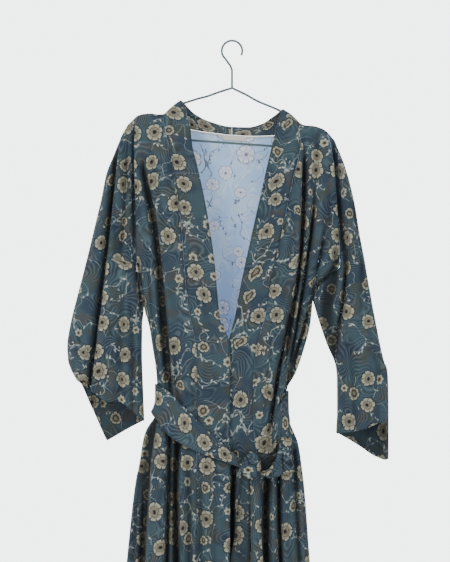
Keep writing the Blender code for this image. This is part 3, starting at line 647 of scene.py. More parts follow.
def tail(name, shape):  # its points, and how deep in shade each one lies
    rows = tailTables[name]
    z = np.linspace(rows["z"][0], rows["z"][-1], shape["rows"])[:, None]
    place = np.linspace(0, 1, shape["columns"])[None, :]
    left, right = column(rows, "z", "left")(z), column(rows, "z", "right")(z)
    x = left + (right - left) * place
    falling = ease((z[0] - z) / shape["fallOver"])
    cup = shape["cup"] * np.sin(math.pi * place) * falling
    creaseAt, wander, length, wide, deep = shape["crease"]
    crease = deep * np.exp(-(((place - creaseAt - wander * np.sin(z / length)) / wide) ** 2)) * falling
    out = column(rows, "z", "out")(z) + cup - crease
    z = z + 0 * x
    # Painted shade: the left end darker all over, and both ends darker towards their edges.
    whole, atLeft, atRight = shape["shade"][name]
    reach = shape["edgeReach"]
    shade = whole + atLeft * np.exp(-place / reach) + atRight * np.exp(-(1 - place) / reach)
    return np.stack([x, -envelope(x, z, depthFront) - seamGap - out, z], axis=-1), shade


# Sheets of cloth from their points


def clearSelection():
    if bpy.context.object and bpy.context.object.mode != "OBJECT":
        bpy.ops.object.mode_set(mode="OBJECT")
    bpy.ops.object.select_all(action="DESELECT")


def lengths(points, axis):
    steps = np.linalg.norm(np.diff(points, axis=axis), axis=-1)
    start = np.zeros((1, points.shape[1])) if axis == 0 else np.zeros((points.shape[0], 1))
    return np.concatenate([start, np.cumsum(steps, axis=axis)], axis=axis)


def outwardNormals(points, sign):
    normal = np.cross(np.gradient(points, axis=1), np.gradient(points, axis=0)) * sign
    return normal / np.maximum(np.linalg.norm(normal, axis=-1, keepdims=True), 1e-9)


def spreadPrint(points, layout, anchor):  # where each point lies on the printed cloth
    rows, columns = points.shape[:2]
    across, down = lengths(points, 1), lengths(points, 0)
    at = int(anchor * (columns - 1))
    if layout == "hung":  # upright, and unfolded sideways from one column
        across = lengths(points * (1.0, 1.0, 0.0), 1)
        heading = np.sign(points[rows // 2, at + 2, 0] - points[rows // 2, at - 2, 0])
        return across - across[:, at : at + 1] + heading * points[:, at : at + 1, 0], -points[..., 2]
    if layout == "around":  # upright, and unrolled along the rows
        return lengths(points * (1.0, 1.0, 0.0), 0)[:, at : at + 1] + 0 * across, -points[..., 2]
    return across - across[:, at : at + 1] + across[0, at], down


def setSurface(mesh, across, up, **attributes):  # places on the printed cloth, and what the finishes read
    corner = np.empty(len(mesh.loops), int)
    mesh.loops.foreach_get("vertex_index", corner)
    uv = np.stack([across.ravel()[corner], up.ravel()[corner]], axis=-1) * mm
    mesh.uv_layers.active.data.foreach_set("uv", uv.ravel())
    for name, values in attributes.items():
        mesh.attributes.new(name, "FLOAT", "POINT").data.foreach_set("value", values.ravel())


def addSheet(
    name, points, wall, sign, finish, reverse, shift=0.0, hems="bottom", folds=None, layout="strip",
    anchor=0.5, shade=0.0,
):
    rows, columns = points.shape[:2]
    shade = shade + np.zeros((rows, columns))
    if sign < 0:
        points, shade, anchor = points[:, ::-1], shade[:, ::-1], 1 - anchor
    clearSelection()
    bpy.ops.mesh.primitive_grid_add(x_subdivisions=columns - 1, y_subdivisions=rows - 1, size=1.0)
    made = bpy.context.object
    made.name = made.data.name = name
    mesh = made.data
    mesh.vertices.foreach_set("co", (points * mm).ravel())
    across, down = spreadPrint(points, layout, anchor)
    falling, sideways = lengths(points, 0), lengths(points, 1)
    if hems == "bottom":
        fromEdge, along = falling[-1:] - falling, sideways
    else:
        fromEdge, along = np.minimum(sideways, sideways[:, -1:] - sideways), falling
    # The sunk attribute carries painted shade: the fold depths plus any shade given, which darken the print's
    # colour.
    sunk = shade + foldDepth(folds, points[..., 0], points[..., 2]) if folds else shade
    setSurface(mesh, across + shift, shift - down, fromHem=fromEdge, alongHem=along, sunk=sunk)
    mesh.materials.append(finish)
    mesh.materials.append(reverse)
    solidify = made.modifiers.new("wall", "SOLIDIFY")
    solidify.thickness = wall * mm
    solidify.offset = -1
    solidify.material_offset = 1
    bpy.ops.object.modifier_apply(modifier="wall")
    mesh.shade_smooth()
    return made


def flatSize(points):
    across = np.linalg.norm(np.diff(points, axis=1), axis=-1).sum(axis=1).max() * mm
    down = np.linalg.norm(np.diff(points, axis=0), axis=-1).sum(axis=0).max() * mm
    first, second = points[1:, 1:] - points[:-1, :-1], points[1:, :-1] - points[:-1, 1:]
    area = np.linalg.norm(np.cross(first, second), axis=-1).sum() / 2 * mm * mm
    return float(across), float(down), float(area)


def dress(piece, points, nodes=()):
    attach(piece, "root")
    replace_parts(piece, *nodes)
    across, down, area = flatSize(points)


# Materials


def operator(operation, swapped=False):  # adds one Math node
    if swapped:
        return lambda signal, other: signal.paint.math(operation, other, signal)
    return lambda signal, other: signal.paint.math(operation, signal, other)


class Signal:  # a socket that can stand in a sum
    def __init__(self, paint, socket):
        self.paint, self.socket = paint, socket

    def output(self, name):
        return Signal(self.paint, self.socket.node.outputs[name])

    def __abs__(self):
        return self.paint.math("ABSOLUTE", self)

    __add__, __radd__ = operator("ADD"), operator("ADD", True)
    __sub__, __rsub__ = operator("SUBTRACT"), operator("SUBTRACT", True)
    __mul__, __rmul__ = operator("MULTIPLY"), operator("MULTIPLY", True)
    __truediv__, __rtruediv__ = operator("DIVIDE"), operator("DIVIDE", True)
    __lt__, __gt__ = operator("LESS_THAN"), operator("GREATER_THAN")


class Paint:  # a material and the way its nodes are added
    def __init__(self, name, **constants):
        self.material = bpy.data.materials.new(name)
        self.material.use_nodes = True
        self.tree = self.material.node_tree
        self.shader = self.tree.nodes["Principled BSDF"]
        for socket, value in constants.items():
            self.shader.inputs[socket.replace("_", " ")].default_value = value

    def feed(self, socket, value):
        if isinstance(value, Signal):
            self.tree.links.new(value.socket, socket)
        else:
            socket.default_value = value

    def node(self, kind, settings, *values, **named):
        made = self.tree.nodes.new(kind)
        for key, value in settings.items():
            if key == "stops":
                stops = made.color_ramp.elements
                for index, (place, colour) in enumerate(value):
                    stop = stops[index] if index < 2 else stops.new(place)
                    stop.position, stop.color = place, (*colour, 1.0)
            else:
                setattr(made, key, value)
        for index, value in enumerate(values):
            self.feed(made.inputs[index], value)
        for key, value in named.items():
            self.feed(made.inputs[key], value)
        return Signal(self, made.outputs[0])

    def mix(self, factor, first, second, blend="MIX"):
        made = self.tree.nodes.new("ShaderNodeMix")
        made.data_type, made.blend_type = "RGBA", blend
        for index, value in ((0, factor), (6, first), (7, second)):
            self.feed(made.inputs[index], (*value, 1.0) if isinstance(value, tuple) else value)
        return Signal(self, made.outputs[2])

    def math(self, operation, *values):
        return self.node("ShaderNodeMath", {"operation": operation}, *values)

    def vector(self, operation, *values, **named):
        return self.node("ShaderNodeVectorMath", {"operation": operation}, *values, **named)

    def split(self, value, kind="Color"):
        return self.node("ShaderNodeSeparate" + kind, {}, value)

    def ramp(self, value, stops):
        return self.node("ShaderNodeValToRGB", {"stops": stops}, value)

    def times(self, colour, amount):
        return self.mix(1.0, colour, amount, "MULTIPLY")

    def smooth(self, value, low, high):
        settings = {"interpolation_type": "SMOOTHSTEP"}
        return self.node("ShaderNodeMapRange", settings, value, low, high, 0.0, 1.0)

    def noise(self, place, scale, detail=2.0, rough=0.5):
        named = {"Vector": place, "Scale": scale, "Detail": detail, "Roughness": rough}
        return self.node("ShaderNodeTexNoise", {"noise_dimensions": "2D"}, **named)

    def patches(self, place, scale, detail, low, high, rough=0.5):
        return self.smooth(self.noise(place, scale, detail, rough), low, high)

    def cells(self, place, scale, spread):
        named = {"Vector": place, "Scale": scale, "Randomness": spread}
        return self.node("ShaderNodeTexVoronoi", {"voronoi_dimensions": "2D"}, **named)

    def attribute(self, name):
        return self.node("ShaderNodeAttribute", {"attribute_name": name}).output("Fac")

    def finish(self, colour, height=None):
        self.feed(self.shader.inputs["Base Color"], colour)
        if height is not None:
            bump = self.node("ShaderNodeBump", {}, Height=height, Distance=mm, Strength=1.0)
            self.feed(self.shader.inputs["Normal"], bump)
        return self.material


printDesign = {  # its sizes are in millimetres
    "wander": (0.035, 7.0),  # the scale and strength of the noise that bends it
    "blossom": (56.0, 16.5, 0.74, 0.0),  # how far apart, the radius, how far from even rows, and the shift
    "blossomShare": 0.78,
    "daisyShare": 0.24,
    "daisySmaller": 0.30,
    "petals": 7.0,
    "petalReach": (0.72, 0.20, 0.6),  # at the notches, what the petals add, and where they are full
    "ragged": (0.22, 0.16),  # the scale and strength of the uneven edge
    "innerReach": (0.50, 0.10, 0.8),  # of the inner petals: least, more, and their turn from the outer ones
    "edges": {"flower": (1.03, 0.95), "rim": (1.20, 1.04), "free": (1.45, 1.2)},  # in the flower's own radius
    "turned": 6.28,  # flowers and leaves are turned by up to this
    "sizes": (0.84, 0.3),  # the smallest share of the radius, and what chance adds
    "small": (41.0, 9.5, 0.9, 61.0),  # the same for the small flowers between them
    "smallShare": 0.20,
    "stems": (((0.0, 0.0, 0.0), 0.0125, 0.0055), ((230.0, 90.0, 0.0), 0.019, 0.0070)),  # shift, scale, width
    "leaf": (8.5, 0.85),  # how far apart, and how far from even rows
    "leafShare": 0.62,
    "leafFromStem": 0.030,
    "ripples": 27.0,  # how many fine lines the ground's noise makes
    "innerPetals": 1.06,  # where a blossom's inner part starts to show, in its own radius
    "creaseShade": (2.0, 22.0, 0.80),  # the fold depths where shade starts and is full, and how dark it gets
}
cream, khaki = (0.43, 0.425, 0.32), (0.22, 0.205, 0.14)
brown, dark = (0.075, 0.055, 0.040), (0.008, 0.010, 0.013)
faceDesign = {
    "navy": (0.027, 0.050, 0.078),
    "teal": (0.043, 0.083, 0.103),
    "taupe": (0.070, 0.068, 0.066),
    "olive": (0.050, 0.062, 0.052),
    "over": {  # what lies over the blotched ground: strength and colour
        "light": (0.42, (0.135, 0.185, 0.205)),
        "deep": (0.45, (0.010, 0.018, 0.028)),
        "rim": (0.8, dark),
        "stems": (0.75, (0.33, 0.39, 0.37)),
        "leaves": (0.9, (0.52, 0.55, 0.48)),
    },
    "small": ((0.0, dark), (0.25, brown), (0.45, khaki), (0.6, cream), (1.0, cream)),
    "inner": (
        (0.0, dark), (0.33, dark), (0.42, brown), (0.50, khaki), (0.58, khaki), (0.68, brown), (0.78, cream),
        (0.87, khaki), (0.94, brown), (1.0, brown),
    ),
    "disc": ((0.0, khaki), (0.42, khaki), (0.70, brown), (0.92, dark), (1.0, dark)),
    "worn": ((0.5, 0.5, 0.5), (1.5, 1.5, 1.5)),
    "thread": (0.02, 0.03, 0.04),
    "crumple": 1.8,
    "weave": 0.12,
}
reverseDesign = {
    "glow": 0.17,  # stands for light that comes through thin cotton
    "grounds": ((0.47, 0.69, 1.0), (0.60, 0.78, 1.0)),
    "over": {
        "light": (0.35, (0.80, 0.88, 0.97)),
        "deep": (0.40, (0.38, 0.50, 0.74)),
        "stems": (0.9, (0.09, 0.13, 0.22)),
        "leaves": (0.9, (0.11, 0.15, 0.24)),
    },
    "inner": (
        (0.0, (0.04, 0.03, 0.05)), (0.26, (0.16, 0.11, 0.15)), (0.36, (0.80, 0.80, 0.90)),
        (0.50, (0.34, 0.26, 0.36)), (0.60, (0.86, 0.88, 0.95)), (0.90, (0.80, 0.80, 0.90)),
        (1.0, (0.36, 0.30, 0.40)),
    ),
    "petal": ((0.90, 0.91, 0.97), (0.28, 0.25, 0.38)),
    "rim": (0.80, (0.20, 0.18, 0.30)),
    "flower": 0.85,
    "crumple": 1.4,
    "weave": 0.1,
}
stitches = {"halfWidth": (0.9, 0.3), "every": 3.0, "dash": (0.42, 0.3), "sinks": 0.45, "fold": 0.5}


def flowersOf(paint, place, design, kind):
    (every, radius, spread, shift), (least, more) = design[kind], design["sizes"]
    moved = paint.vector("ADD", place, (shift, 0.37 * shift, 0.0))
    cell = paint.cells(moved, 1.0 / every, spread)
    fromCentre = paint.vector("SUBTRACT", moved, cell.output("Position"))
    apart, chance = paint.split(fromCentre, "XYZ"), paint.split(cell.output("Color"))
    distance = paint.vector("LENGTH", fromCentre).output("Value")
    angle = paint.math("ARCTAN2", apart.output("Y"), apart.output("X"))
    radius = radius * (least + more * chance.output("Green"))
    return distance, angle + chance.output("Blue") * design["turned"], chance, radius


def waves(paint, angle):
    return abs(paint.math("SINE", angle))


def blossoms(paint, place, design):  # double, with notched petals, and daisies in some of their places
    distance, angle, chance, radius = flowersOf(paint, place, design, "blossom")
    isDaisy = chance.output("Red") < design["daisyShare"]
    isThere = chance.output("Red") < design["blossomShare"]
    lobes = waves(paint, angle * (design["petals"] / 2))
    scale, strength = design["ragged"]
    ragged = paint.noise(place, scale, 1.0) * strength
    least, more, full = design["petalReach"]
    reach = least + more * paint.smooth(lobes, 0.0, full) + ragged
    q = distance / (radius * (1.0 - design["daisySmaller"] * isDaisy) * reach)  # 1 at the flower's edge
    least, more, turn = design["innerReach"]
    innerQ = q / (least + more * waves(paint, angle * (design["petals"] / 2) + turn))
    flower, rim, near = (paint.smooth(q, *edge) * isThere for edge in design["edges"].values())
    return {
        "q": q, "innerQ": innerQ, "isDaisy": isDaisy, "lobes": lobes, "angle": angle,
        "flower": flower, "rim": rim, "free": 1.0 - near,
    }


def smallFlowers(paint, place, design, free):
    far, turn, luck, small = flowersOf(paint, place, design, "small")
    isThere = (luck.output("Red") < design["smallShare"]) * (free > 0.98)
    smallQ = far / (small * (0.70 + 0.30 * waves(paint, turn * 3.0)))
    flower = paint.smooth(smallQ, 1.03, 0.90) * isThere
    return smallQ, flower, free * (1.0 - paint.smooth(smallQ, 1.6, 1.2) * isThere)


def stemsAndLeaves(paint, place, design):  # thin curved stems, with leaves and buds along them
    stems, leaves = [], []
    every, spread = design["leaf"]
    for shift, scale, width in design["stems"]:
        moved = paint.vector("ADD", place, shift)
        stems.append(paint.smooth(abs(paint.noise(moved, scale, 0.7) - 0.5), width, width * 0.35))
        cell = paint.cells(moved, 1.0 / every, spread)
        luck = paint.split(cell.output("Color"))
        nearStem = abs(paint.noise(cell.output("Position"), scale, 0.7) - 0.5) < design["leafFromStem"]
        offset = paint.vector("SUBTRACT", moved, cell.output("Position"))
        angle = luck.output("Blue") * design["turned"]
        settings = {"rotation_type": "Z_AXIS"}
        turned = paint.node("ShaderNodeVectorRotate", settings, Vector=offset, Angle=angle)
        reach = paint.vector("LENGTH", paint.vector("MULTIPLY", turned, (0.5, 1.25, 1.0))).output("Value")
        leaf = paint.smooth(reach, 2.0 + luck.output("Green") * 0.8, 1.2)
        leaves.append(leaf * nearStem * (luck.output("Red") < design["leafShare"]))
    return paint.math("MAXIMUM", *stems), paint.math("MAXIMUM", *leaves)


def printLayers(paint, design):
    scale, strength = design["wander"]
    plain = paint.vector("SCALE", paint.node("ShaderNodeUVMap", {}), Scale=1 / mm)
    wander = paint.vector("SUBTRACT", paint.noise(plain, scale, 1.0).output("Color"), (0.5, 0.5, 0.5))
    place = paint.vector("ADD", plain, paint.vector("SCALE", wander, Scale=strength))
    layers = {"plain": plain, "place": place, **blossoms(paint, place, design)}
    layers["smallQ"], layers["smallFlower"], free = smallFlowers(paint, place, design, layers["free"])
    some = paint.patches(place, 0.018, 1.0, 0.40, 0.46)
    for name, layer in zip(("stems", "leaves"), stemsAndLeaves(paint, place, design)):
        layers[name] = layer * some * free

    # the fine lines that ripple over the ground
    contour = paint.noise(place, 0.010, 1.5, 0.45) * design["ripples"]
    wave = abs(paint.math("FRACT", contour) - 0.5)
    where = paint.patches(place, 0.02, 1.0, 0.34, 0.56)
    layers["light"] = paint.smooth(wave, 0.17, 0.07) * where
    layers["deep"] = paint.smooth(wave, 0.30, 0.44) * where
    return layers


def layOver(paint, ground, layers, over):
    for name, (strength, tint) in over.items():
        ground = paint.mix(layers[name] * strength, ground, tint)
    return ground


def flowerColour(paint, layers, design):
    petal = paint.mix(paint.smooth(layers["q"], 0.50, 0.92), khaki, cream)
    streak = paint.smooth(waves(paint, layers["angle"] * (printDesign["petals"] * 1.5)), 0.35, 0.0)
    petal = paint.mix(streak * 0.55, petal, khaki)
    petal = paint.mix(paint.smooth(layers["lobes"], 0.34, 0.08) * 0.9, petal, brown)
    inner, disc = paint.ramp(layers["innerQ"], design["inner"]), paint.ramp(layers["innerQ"], design["disc"])
    middle = paint.mix(layers["isDaisy"], inner, disc)
    return paint.mix(paint.smooth(layers["innerQ"], printDesign["innerPetals"], 0.98), petal, middle)


def hemHeight(paint, stitchFrom):
    fromHem, along = paint.attribute("fromHem"), paint.attribute("alongHem")
    row = paint.smooth(abs(fromHem - stitchFrom), *stitches["halfWidth"])
    dash = paint.smooth(abs(paint.math("FRACT", along / stitches["every"]) - 0.5), *stitches["dash"])
    fold = paint.smooth(fromHem, stitchFrom + 1.5, stitchFrom - 0.5)
    return row * dash, fold * stitches["fold"] - row * dash * stitches["sinks"]


def printedCotton(name, stitchFrom, tone=1.0):
    design = faceDesign
    paint = Paint(name, Roughness=0.88, Sheen_Weight=0.05, Sheen_Roughness=0.5)
    layers = printLayers(paint, printDesign)
    place, plain = layers["place"], layers["plain"]
    moved = paint.vector("ADD", place, (400.0, 130.0, 0.0))
    ground = paint.mix(paint.patches(place, 0.016, 2.0, 0.38, 0.60), design["navy"], design["teal"])
    ground = paint.mix(paint.patches(place, 0.024, 2.0, 0.56, 0.66, 0.6) * 0.8, ground, design["taupe"])
    ground = paint.mix(paint.patches(moved, 0.03, 1.0, 0.55, 0.68) * 0.7, ground, design["olive"])
    colour = layOver(paint, ground, layers, design["over"])
    colour = paint.mix(layers["smallFlower"], colour, paint.ramp(layers["smallQ"], design["small"]))
    colour = paint.mix(layers["flower"], colour, flowerColour(paint, layers, design))
    worn = paint.mix(paint.noise(plain, 0.55, 3.0, 0.7), *design["worn"])
    colour = paint.mix(0.8, colour, worn, "MULTIPLY")
    stitch, fold = hemHeight(paint, stitchFrom)
    colour = paint.mix(stitch * 0.5, colour, design["thread"])
    # Painted shade: the colour darkens where the sunk attribute is deep, in folds and creases, beside the
    # belt and on the shaded parts of the bow, ends and knot.
    low, high, most = printDesign["creaseShade"]
    shade = 1.0 - most * paint.smooth(paint.attribute("sunk"), low, high)
    colour = paint.times(colour, paint.node("ShaderNodeCombineColor", {}, shade, shade, shade))
    if tone != 1.0:
        colour = paint.times(colour, (tone, tone, tone))
    crumple = paint.noise(plain, 0.05, 3.0, 0.55) * design["crumple"]
    return paint.finish(colour, height=fold + crumple + paint.noise(plain, 1.4, 2.0, 0.6) * design["weave"])


def reverseCotton(name):  # the same print seen from behind, washed out
    design = reverseDesign
    paint = Paint(name, Roughness=0.9, Sheen_Weight=0.05, Emission_Strength=design["glow"])
    layers = printLayers(paint, printDesign)
    ground = paint.mix(paint.patches(layers["place"], 0.02, 2.0, 0.4, 0.62), *design["grounds"])
    colour = layOver(paint, ground, layers, design["over"])
    petal = paint.mix(paint.smooth(layers["lobes"], 0.30, 0.05) * 0.85, *design["petal"])
    inside = paint.smooth(layers["innerQ"], printDesign["innerPetals"], 0.98)
    ghost = paint.mix(inside, petal, paint.ramp(layers["innerQ"], design["inner"]))
    strength, tint = design["rim"]
    colour = paint.mix(layers["rim"] * (1.0 - layers["flower"]) * strength, colour, tint)
    colour = paint.mix(layers["flower"] * design["flower"], colour, ghost)
    # Painted glow: the reverse gives off light in its own colour, standing for light that comes through thin
    # cotton.
    paint.feed(paint.shader.inputs["Emission Color"], colour)
    crumple = paint.noise(layers["plain"], 0.05, 3.0, 0.6) * design["crumple"]
    return paint.finish(colour, height=crumple + paint.noise(layers["plain"], 1.4, 2.0) * design["weave"])


def plainFinish(name, colour, fleck, scale, roughness, depth):
    paint = Paint(name, Roughness=roughness)
    place = paint.node("ShaderNodeTexCoord", {}).output("Object")
    field = paint.node("ShaderNodeTexNoise", {}, Vector=place, Scale=scale, Detail=3.0, Roughness=0.6)
    return paint.finish(paint.mix(field, colour, fleck), height=field * depth)


# Painted light and shade: the band, belt and cuff linings are copies of one print at other brightness, the
# belt's a little lighter, the band's a little darker and the cuff linings' much darker.
bodyPrint = printedCotton("printed_cotton_body", stitchFrom=22.0)
bandPrint = printedCotton("printed_cotton_band", stitchFrom=2.5, tone=0.96)
beltPrint = printedCotton("printed_cotton_belt", stitchFrom=3.0, tone=1.06)
liningPrint = printedCotton("printed_cotton_lining", stitchFrom=8.0, tone=0.66)
reverse = reverseCotton("reverse_of_cotton")
tape = plainFinish(
    "woven_tape", (0.80, 0.76, 0.65), (0.92, 0.89, 0.78), scale=900.0, roughness=0.8, depth=0.3
)
coating = plainFinish(
    "wire_coating", (0.085, 0.135, 0.145), (0.12, 0.18, 0.185), scale=260.0, roughness=0.38, depth=0.1
)
print("materials mixed")

# The cut pieces

cutPlaces = {  # where a piece is cut from the printed cloth, and how far from there its twins are
    "front": (0.0, 130.0),
    "band": (410.0, 90.0),
    "sleeve": (700.0, 160.0),
    "lining": (1100.0, 70.0),
    "back": (1500.0, 0.0),
    "belt": (1800.0, 0.0),
    "bow": (1962.0, 0.0),
    "tail": (2100.0, 60.0),
    "knot": (2300.0, 0.0),
}


def cutPlace(name, number=0):
    start, step = cutPlaces[name]
    return start + step * number


for side, word in ((-1, "left"), (1, "right")):
    points = frontPanel(side)
    made = addSheet(
        f"cloth_front_{word}", points, body["wall"], -side, bodyPrint, reverse, cutPlace("front", side),
        folds=frontFolds, layout="hung", shade=besideBelt(points),
    )
    dress(made, points, [f"front_{word}"])

    points = band(side)
    folds = frontFolds
    if side > 0:
        folds = {name: np.append(frontFolds[name], openingFold[name]) for name in frontFolds}
    made = addSheet(
        f"cloth_band_{word}", points, body["bandWall"], -side, bandPrint, bandPrint, cutPlace("band", side),
        "sides", folds, shade=besideBelt(points),
    )
    dress(made, points, [f"band_{word}"])

    points = sleeve(side)
    made = addSheet(
        f"cloth_sleeve_{word}", points, sleeves["wall"], -side, bodyPrint, reverse, cutPlace("sleeve", side),
        folds=sleeveFolds[side], layout="hung", anchor=0.25,
    )
    dress(made, points, [f"sleeve_{word}"])

    inside = points - outwardNormals(points, -side) * sleeves["liningIn"]
    inside = inside[-sleeves["liningRows"] :, sleeves["liningMargin"] : -sleeves["liningMargin"]]
    made = addSheet(
        f"cuff_lining_{word}", inside, sleeves["liningWall"], -side, liningPrint, liningPrint,
        cutPlace("lining", side), layout="hung", anchor=0.75,
    )
    dress(made, inside, [f"facing_{word}"])

points = backPanel()
made = addSheet(
    "cloth_back", points, body["wall"], 1, bodyPrint, reverse, cutPlace("back"),
    folds=backFolds, layout="hung",
)
dress(made, points, ["back"])
print("panels, band, sleeves and cuff linings made")

points = belt()
made = addSheet("cloth_belt", points, beltShape["wall"], -1, beltPrint, beltPrint, cutPlace("belt"), "sides")
dress(made, points, ["belt"])
points, shade = bowLoop(bowShape)
made = addSheet(
    "cloth_half_bow", points, bowShape["wall"], -1, beltPrint, beltPrint, cutPlace("bow"), "sides",
    layout="around", shade=shade,
)
dress(made, points, ["bow_loop"])
for number, name in enumerate(tailTables):
    points, shade = tail(name, tailShape)
    made = addSheet(
        f"cloth_{name}", points, tailShape["wall"], -1, beltPrint, beltPrint, cutPlace("tail", number),
        "sides", layout="hung", shade=shade,
    )
    dress(made, points, [name])

knotShape = {
    "centre": (38.0, -856.0),
    "half": (22.5, 15.0, 29.0),
    "back": 6.5,  # from the body's cloth to the knot's back
    "creases": table(
        "angle offset width depth",
        (52, 0.1, 0.13, 0.20), (40, -0.45, 0.10, 0.14), (64, 0.55, 0.10, 0.13), (-28, -0.2, 0.08, 0.07),
        (12, 0.72, 0.08, 0.08),
    ),
    "wander": 0.12,
    "uneven": 0.05,
    "flatness": 0.8,
    "creaseShade": 95.0,
    "backShade": 22.0,
}


def addKnot(settings):
    centreX, centreZ = settings["centre"]
    halfX, halfY, halfZ = settings["half"]
    back = float(envelope(np.array(centreX), np.array(centreZ), depthFront)) + settings["back"]
    clearSelection()
    bpy.ops.mesh.primitive_uv_sphere_add(segments=72, ring_count=44, radius=1.0)
    made = bpy.context.object
    made.name = made.data.name = "cloth_knot"
    mesh = made.data
    ball = np.empty(len(mesh.vertices) * 3)
    mesh.vertices.foreach_get("co", ball)
    ball = ball.reshape(-1, 3)
    x, y, z = ball.T
    sink = np.zeros_like(x)
    for angle, offset, width, depth in zip(*settings["creases"].values()):
        aside = x * math.cos(math.radians(angle)) + z * math.sin(math.radians(angle)) - offset
        sink += depth * np.exp(-np.abs(aside - settings["wander"] * np.sin(4 * (x - z))) / width)
    size = (1 - sink * (y < 0.3)) * (1 + settings["uneven"] * np.sin(5 * x + 2 * z))
    flat = np.sign(y) * np.abs(y) ** settings["flatness"]
    placedX, placedZ = centreX + halfX * x * size, centreZ + halfZ * z * size
    placedY = np.minimum(-back - halfY + halfY * flat * size, -back)
    mesh.vertices.foreach_set("co", (np.stack([placedX, placedY, placedZ], axis=1) * mm).ravel())
    # Painted shade: darker in the knot's creases and towards its back.
    sunk = settings["creaseShade"] * sink + settings["backShade"] * ease((y + 0.62) / 0.6)
    across = placedX * 0.9 + placedY * 0.6 + cutPlace("knot")
    setSurface(mesh, across, placedZ * 1.1, fromHem=60 + 0 * x, alongHem=0 * x, sunk=sunk)
    mesh.materials.append(beltPrint)
    mesh.shade_smooth()
    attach(made, "root")
    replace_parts(made, "knot")


addKnot(knotShape)
print("belt, half bow, ends and knot made")

# The blank tape under the back neck, and the pale edge of the seam that it is sewn into

tapeShape = {
    "seamFrom": -92.0,
    "seamTo": 88.0,
    "seamHeight": 2.6,
    "labelFrom": -20.0,
    "labelTo": 30.0,
    "labelHeight": 11.0,
    "labelCorner": 1.5,
    "belowSeam": 0.8,
    "wall": 0.7,
    "rows": 5,
    "columns": 140,
    "fromCloth": 1.9,  # from the middle of the back's cloth to the tape's outer side
}


def neckTape(settings):
    down = np.linspace(0, 1, settings["rows"])[:, None]
    x = np.linspace(settings["seamFrom"], settings["seamTo"], settings["columns"])[None, :] + 0 * down
    corner = settings["labelCorner"]
    isLabel = ease((x - settings["labelFrom"]) / corner) * ease((settings["labelTo"] - x) / corner)
    height = settings["seamHeight"] + (settings["labelHeight"] - settings["seamHeight"]) * isLabel
    z = neckLine(x) - settings["belowSeam"] - down * height
    return np.stack([x, backY(x, z) - settings["fromCloth"], z], axis=-1)


points = neckTape(tapeShape)
made = addSheet("neck_tape", points, tapeShape["wall"], 1, tape, tape)
dress(made, points, ["neck_label"])

# The hanger: one wire for the arms and bar, and its hook

hanger = {
    "apex": -95.0,
    "wire": 2.0,
    "slopes": {-1: 0.314, 1: 0.47},
    "ends": {-1: (-170.0, 22.0), 1: (168.0, 21.0)},  # centre and radius of each end's bend
    "armsFrom": 12.0,  # from the middle, to either side
    "armsWire": 2.3,
    "hookWire": 2.2,
    "hookRadius": 21.0,
    "hookTurn": (228, -25),
    "shankTop": -58.0,
    "clearance": 2.2,  # what the wire keeps from the shoulder line, besides the seam gaps
}


def armZ(side, x):  # straight, but always just under the cloth that lies on it
    straight = hanger["apex"] - hanger["slopes"][side] * abs(x)
    near = ridge(x + np.linspace(-3, 3, 7))
    slant = math.hypot(1.0, (near[-1] - near[0]) / 6)
    return min(straight, float(near.min()) - (hanger["clearance"] + 2 * seamGap + hanger["wire"]) * slant)


def hangerLoop():
    points = [(0.0, 0.0, hanger["apex"])]
    for side in (1, -1):
        centre, radius = hanger["ends"][side]
        arm = [(x, 0.0, armZ(side, x)) for x in np.linspace(hanger["armsFrom"] * side, centre, 34)]
        middle = arm[-1][2] - radius
        bend = [
            (centre + side * radius * math.sin(a), 0.0, middle + radius * math.cos(a))
            for a in np.linspace(0, math.pi, 18)[1:]
        ]
        points += arm + bend if side > 0 else (arm + bend)[::-1]
    return points


def hookLine():
    radius, apex, top = hanger["hookRadius"], hanger["apex"], hanger["shankTop"]
    shank = [(0.0, 0.0, apex + 1.0), (0.0, 0.0, apex + 20), (0.0, 0.0, top), (-3.0, 0.0, top + 8)]
    return shank + [
        (radius * math.cos(a), 0.0, hanger["wire"] - radius + radius * math.sin(a))
        for a in np.radians(np.linspace(*hanger["hookTurn"], 48))
    ]


def addWire(name, points, radius, closed):
    data = bpy.data.curves.new(name, "CURVE")
    data.dimensions = "3D"
    data.bevel_depth = radius * mm
    data.bevel_resolution = 4
    data.use_fill_caps = not closed
    line = data.splines.new("POLY")
    line.points.add(len(points) - 1)
    for target, point in zip(line.points, points):
        target.co = (*(c * mm for c in point), 1.0)
    line.use_cyclic_u = closed
    made = bpy.data.objects.new(name, data)
    bpy.context.scene.collection.objects.link(made)
    clearSelection()
    made.select_set(True)
    bpy.context.view_layer.objects.active = made
    bpy.ops.object.convert(target="MESH")
    made = bpy.context.object
    made.data.materials.append(coating)
    made.data.shade_smooth()
    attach(made, "root")
    return made


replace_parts(addWire("wire_arms_and_bar", hangerLoop(), hanger["armsWire"], True), "hanger")
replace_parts(addWire("wire_hook", hookLine(), hanger["hookWire"], False), "hanger")
print("tape and hanger made")

# A pale floor, a pale sky and soft lamps

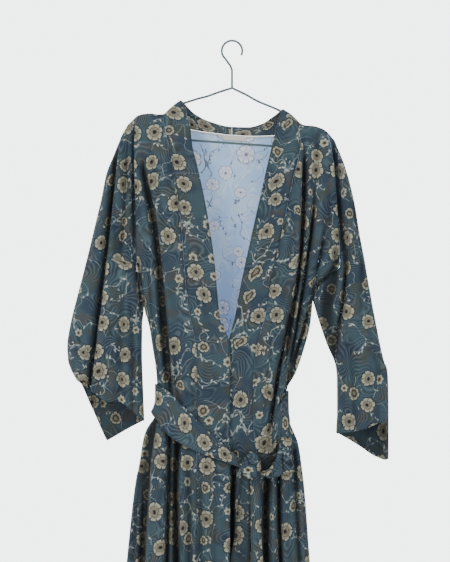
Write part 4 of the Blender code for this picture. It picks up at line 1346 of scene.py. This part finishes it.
studio = {
    "floor": -1520.0,
    "halfWidth": 9000.0,
    "front": -9000.0,
    "back": 1750.0,
    "lamps": (  # place, watts, size in metres, colour
        ((-1.8, -2.3, 1.5), 46.0, 1.1, (1.0, 0.98, 0.95)),
        ((2.2, -2.2, 0.2), 12.0, 1.8, (0.90, 0.95, 1.0)),
        ((-1.4, 2.4, 1.4), 26.0, 1.6, (1.0, 0.99, 0.97)),
    ),
    "aim": (0.0, 0.0, -0.6),
    "sky": (0.95, 0.975, 1.0),
    "skyStrength": (0.72, 4.6),  # in front of the robe, and behind it
    "skyRange": (0.78, 0.95),  # how straight behind it the bright part starts, and is full
    "floorColours": ((0.88, 0.88, 0.88), (0.85, 0.85, 0.86)),
}


def addStudio(settings):
    clearSelection()
    bpy.ops.mesh.primitive_grid_add(x_subdivisions=1, y_subdivisions=1, size=1.0)
    floor = bpy.context.object
    floor.name = "floor"
    wide, low = settings["halfWidth"], settings["floor"]
    corners = [(x * wide, settings[y], low) for y in ("front", "back") for x in (-1, 1)]
    floor.data.vertices.foreach_set("co", (np.array(corners) * mm).ravel())
    paint = Paint("studio_floor", Roughness=0.95)
    place = paint.node("ShaderNodeTexCoord", {}).output("Object")
    field = paint.node("ShaderNodeTexNoise", {}, Vector=place, Scale=3.0, Detail=2.0)
    floor.data.materials.append(paint.finish(paint.mix(field, *settings["floorColours"])))
    for place, watts, size, colour in settings["lamps"]:
        bpy.ops.object.light_add(type="AREA", location=place)
        lamp = bpy.context.object
        lamp.data.energy, lamp.data.size, lamp.data.color = watts, size, colour
        away = np.array(place) - np.array(settings["aim"])
        tilt, turn = math.atan2(math.hypot(away[0], away[1]), away[2]), math.atan2(away[1], away[0])
        lamp.rotation_euler = (tilt, 0.0, turn + math.pi / 2)
    world = bpy.data.worlds.new("studio")
    bpy.context.scene.world = world
    world.use_nodes = True
    tree = world.node_tree
    background = tree.nodes["Background"]
    background.inputs["Color"].default_value = (*settings["sky"], 1.0)
    direction, parts, share = (
        tree.nodes.new("ShaderNode" + kind) for kind in ("TexCoord", "SeparateXYZ", "MapRange")
    )
    share.interpolation_type = "SMOOTHSTEP"
    values = (*settings["skyRange"], *settings["skyStrength"])
    for socket, value in zip(("From Min", "From Max", "To Min", "To Max"), values):
        share.inputs[socket].default_value = value
    tree.links.new(direction.outputs["Generated"], parts.inputs[0])
    tree.links.new(parts.outputs["Y"], share.inputs["Value"])
    tree.links.new(share.outputs[0], background.inputs["Strength"])


addStudio(studio)
print("floor and lamps placed")
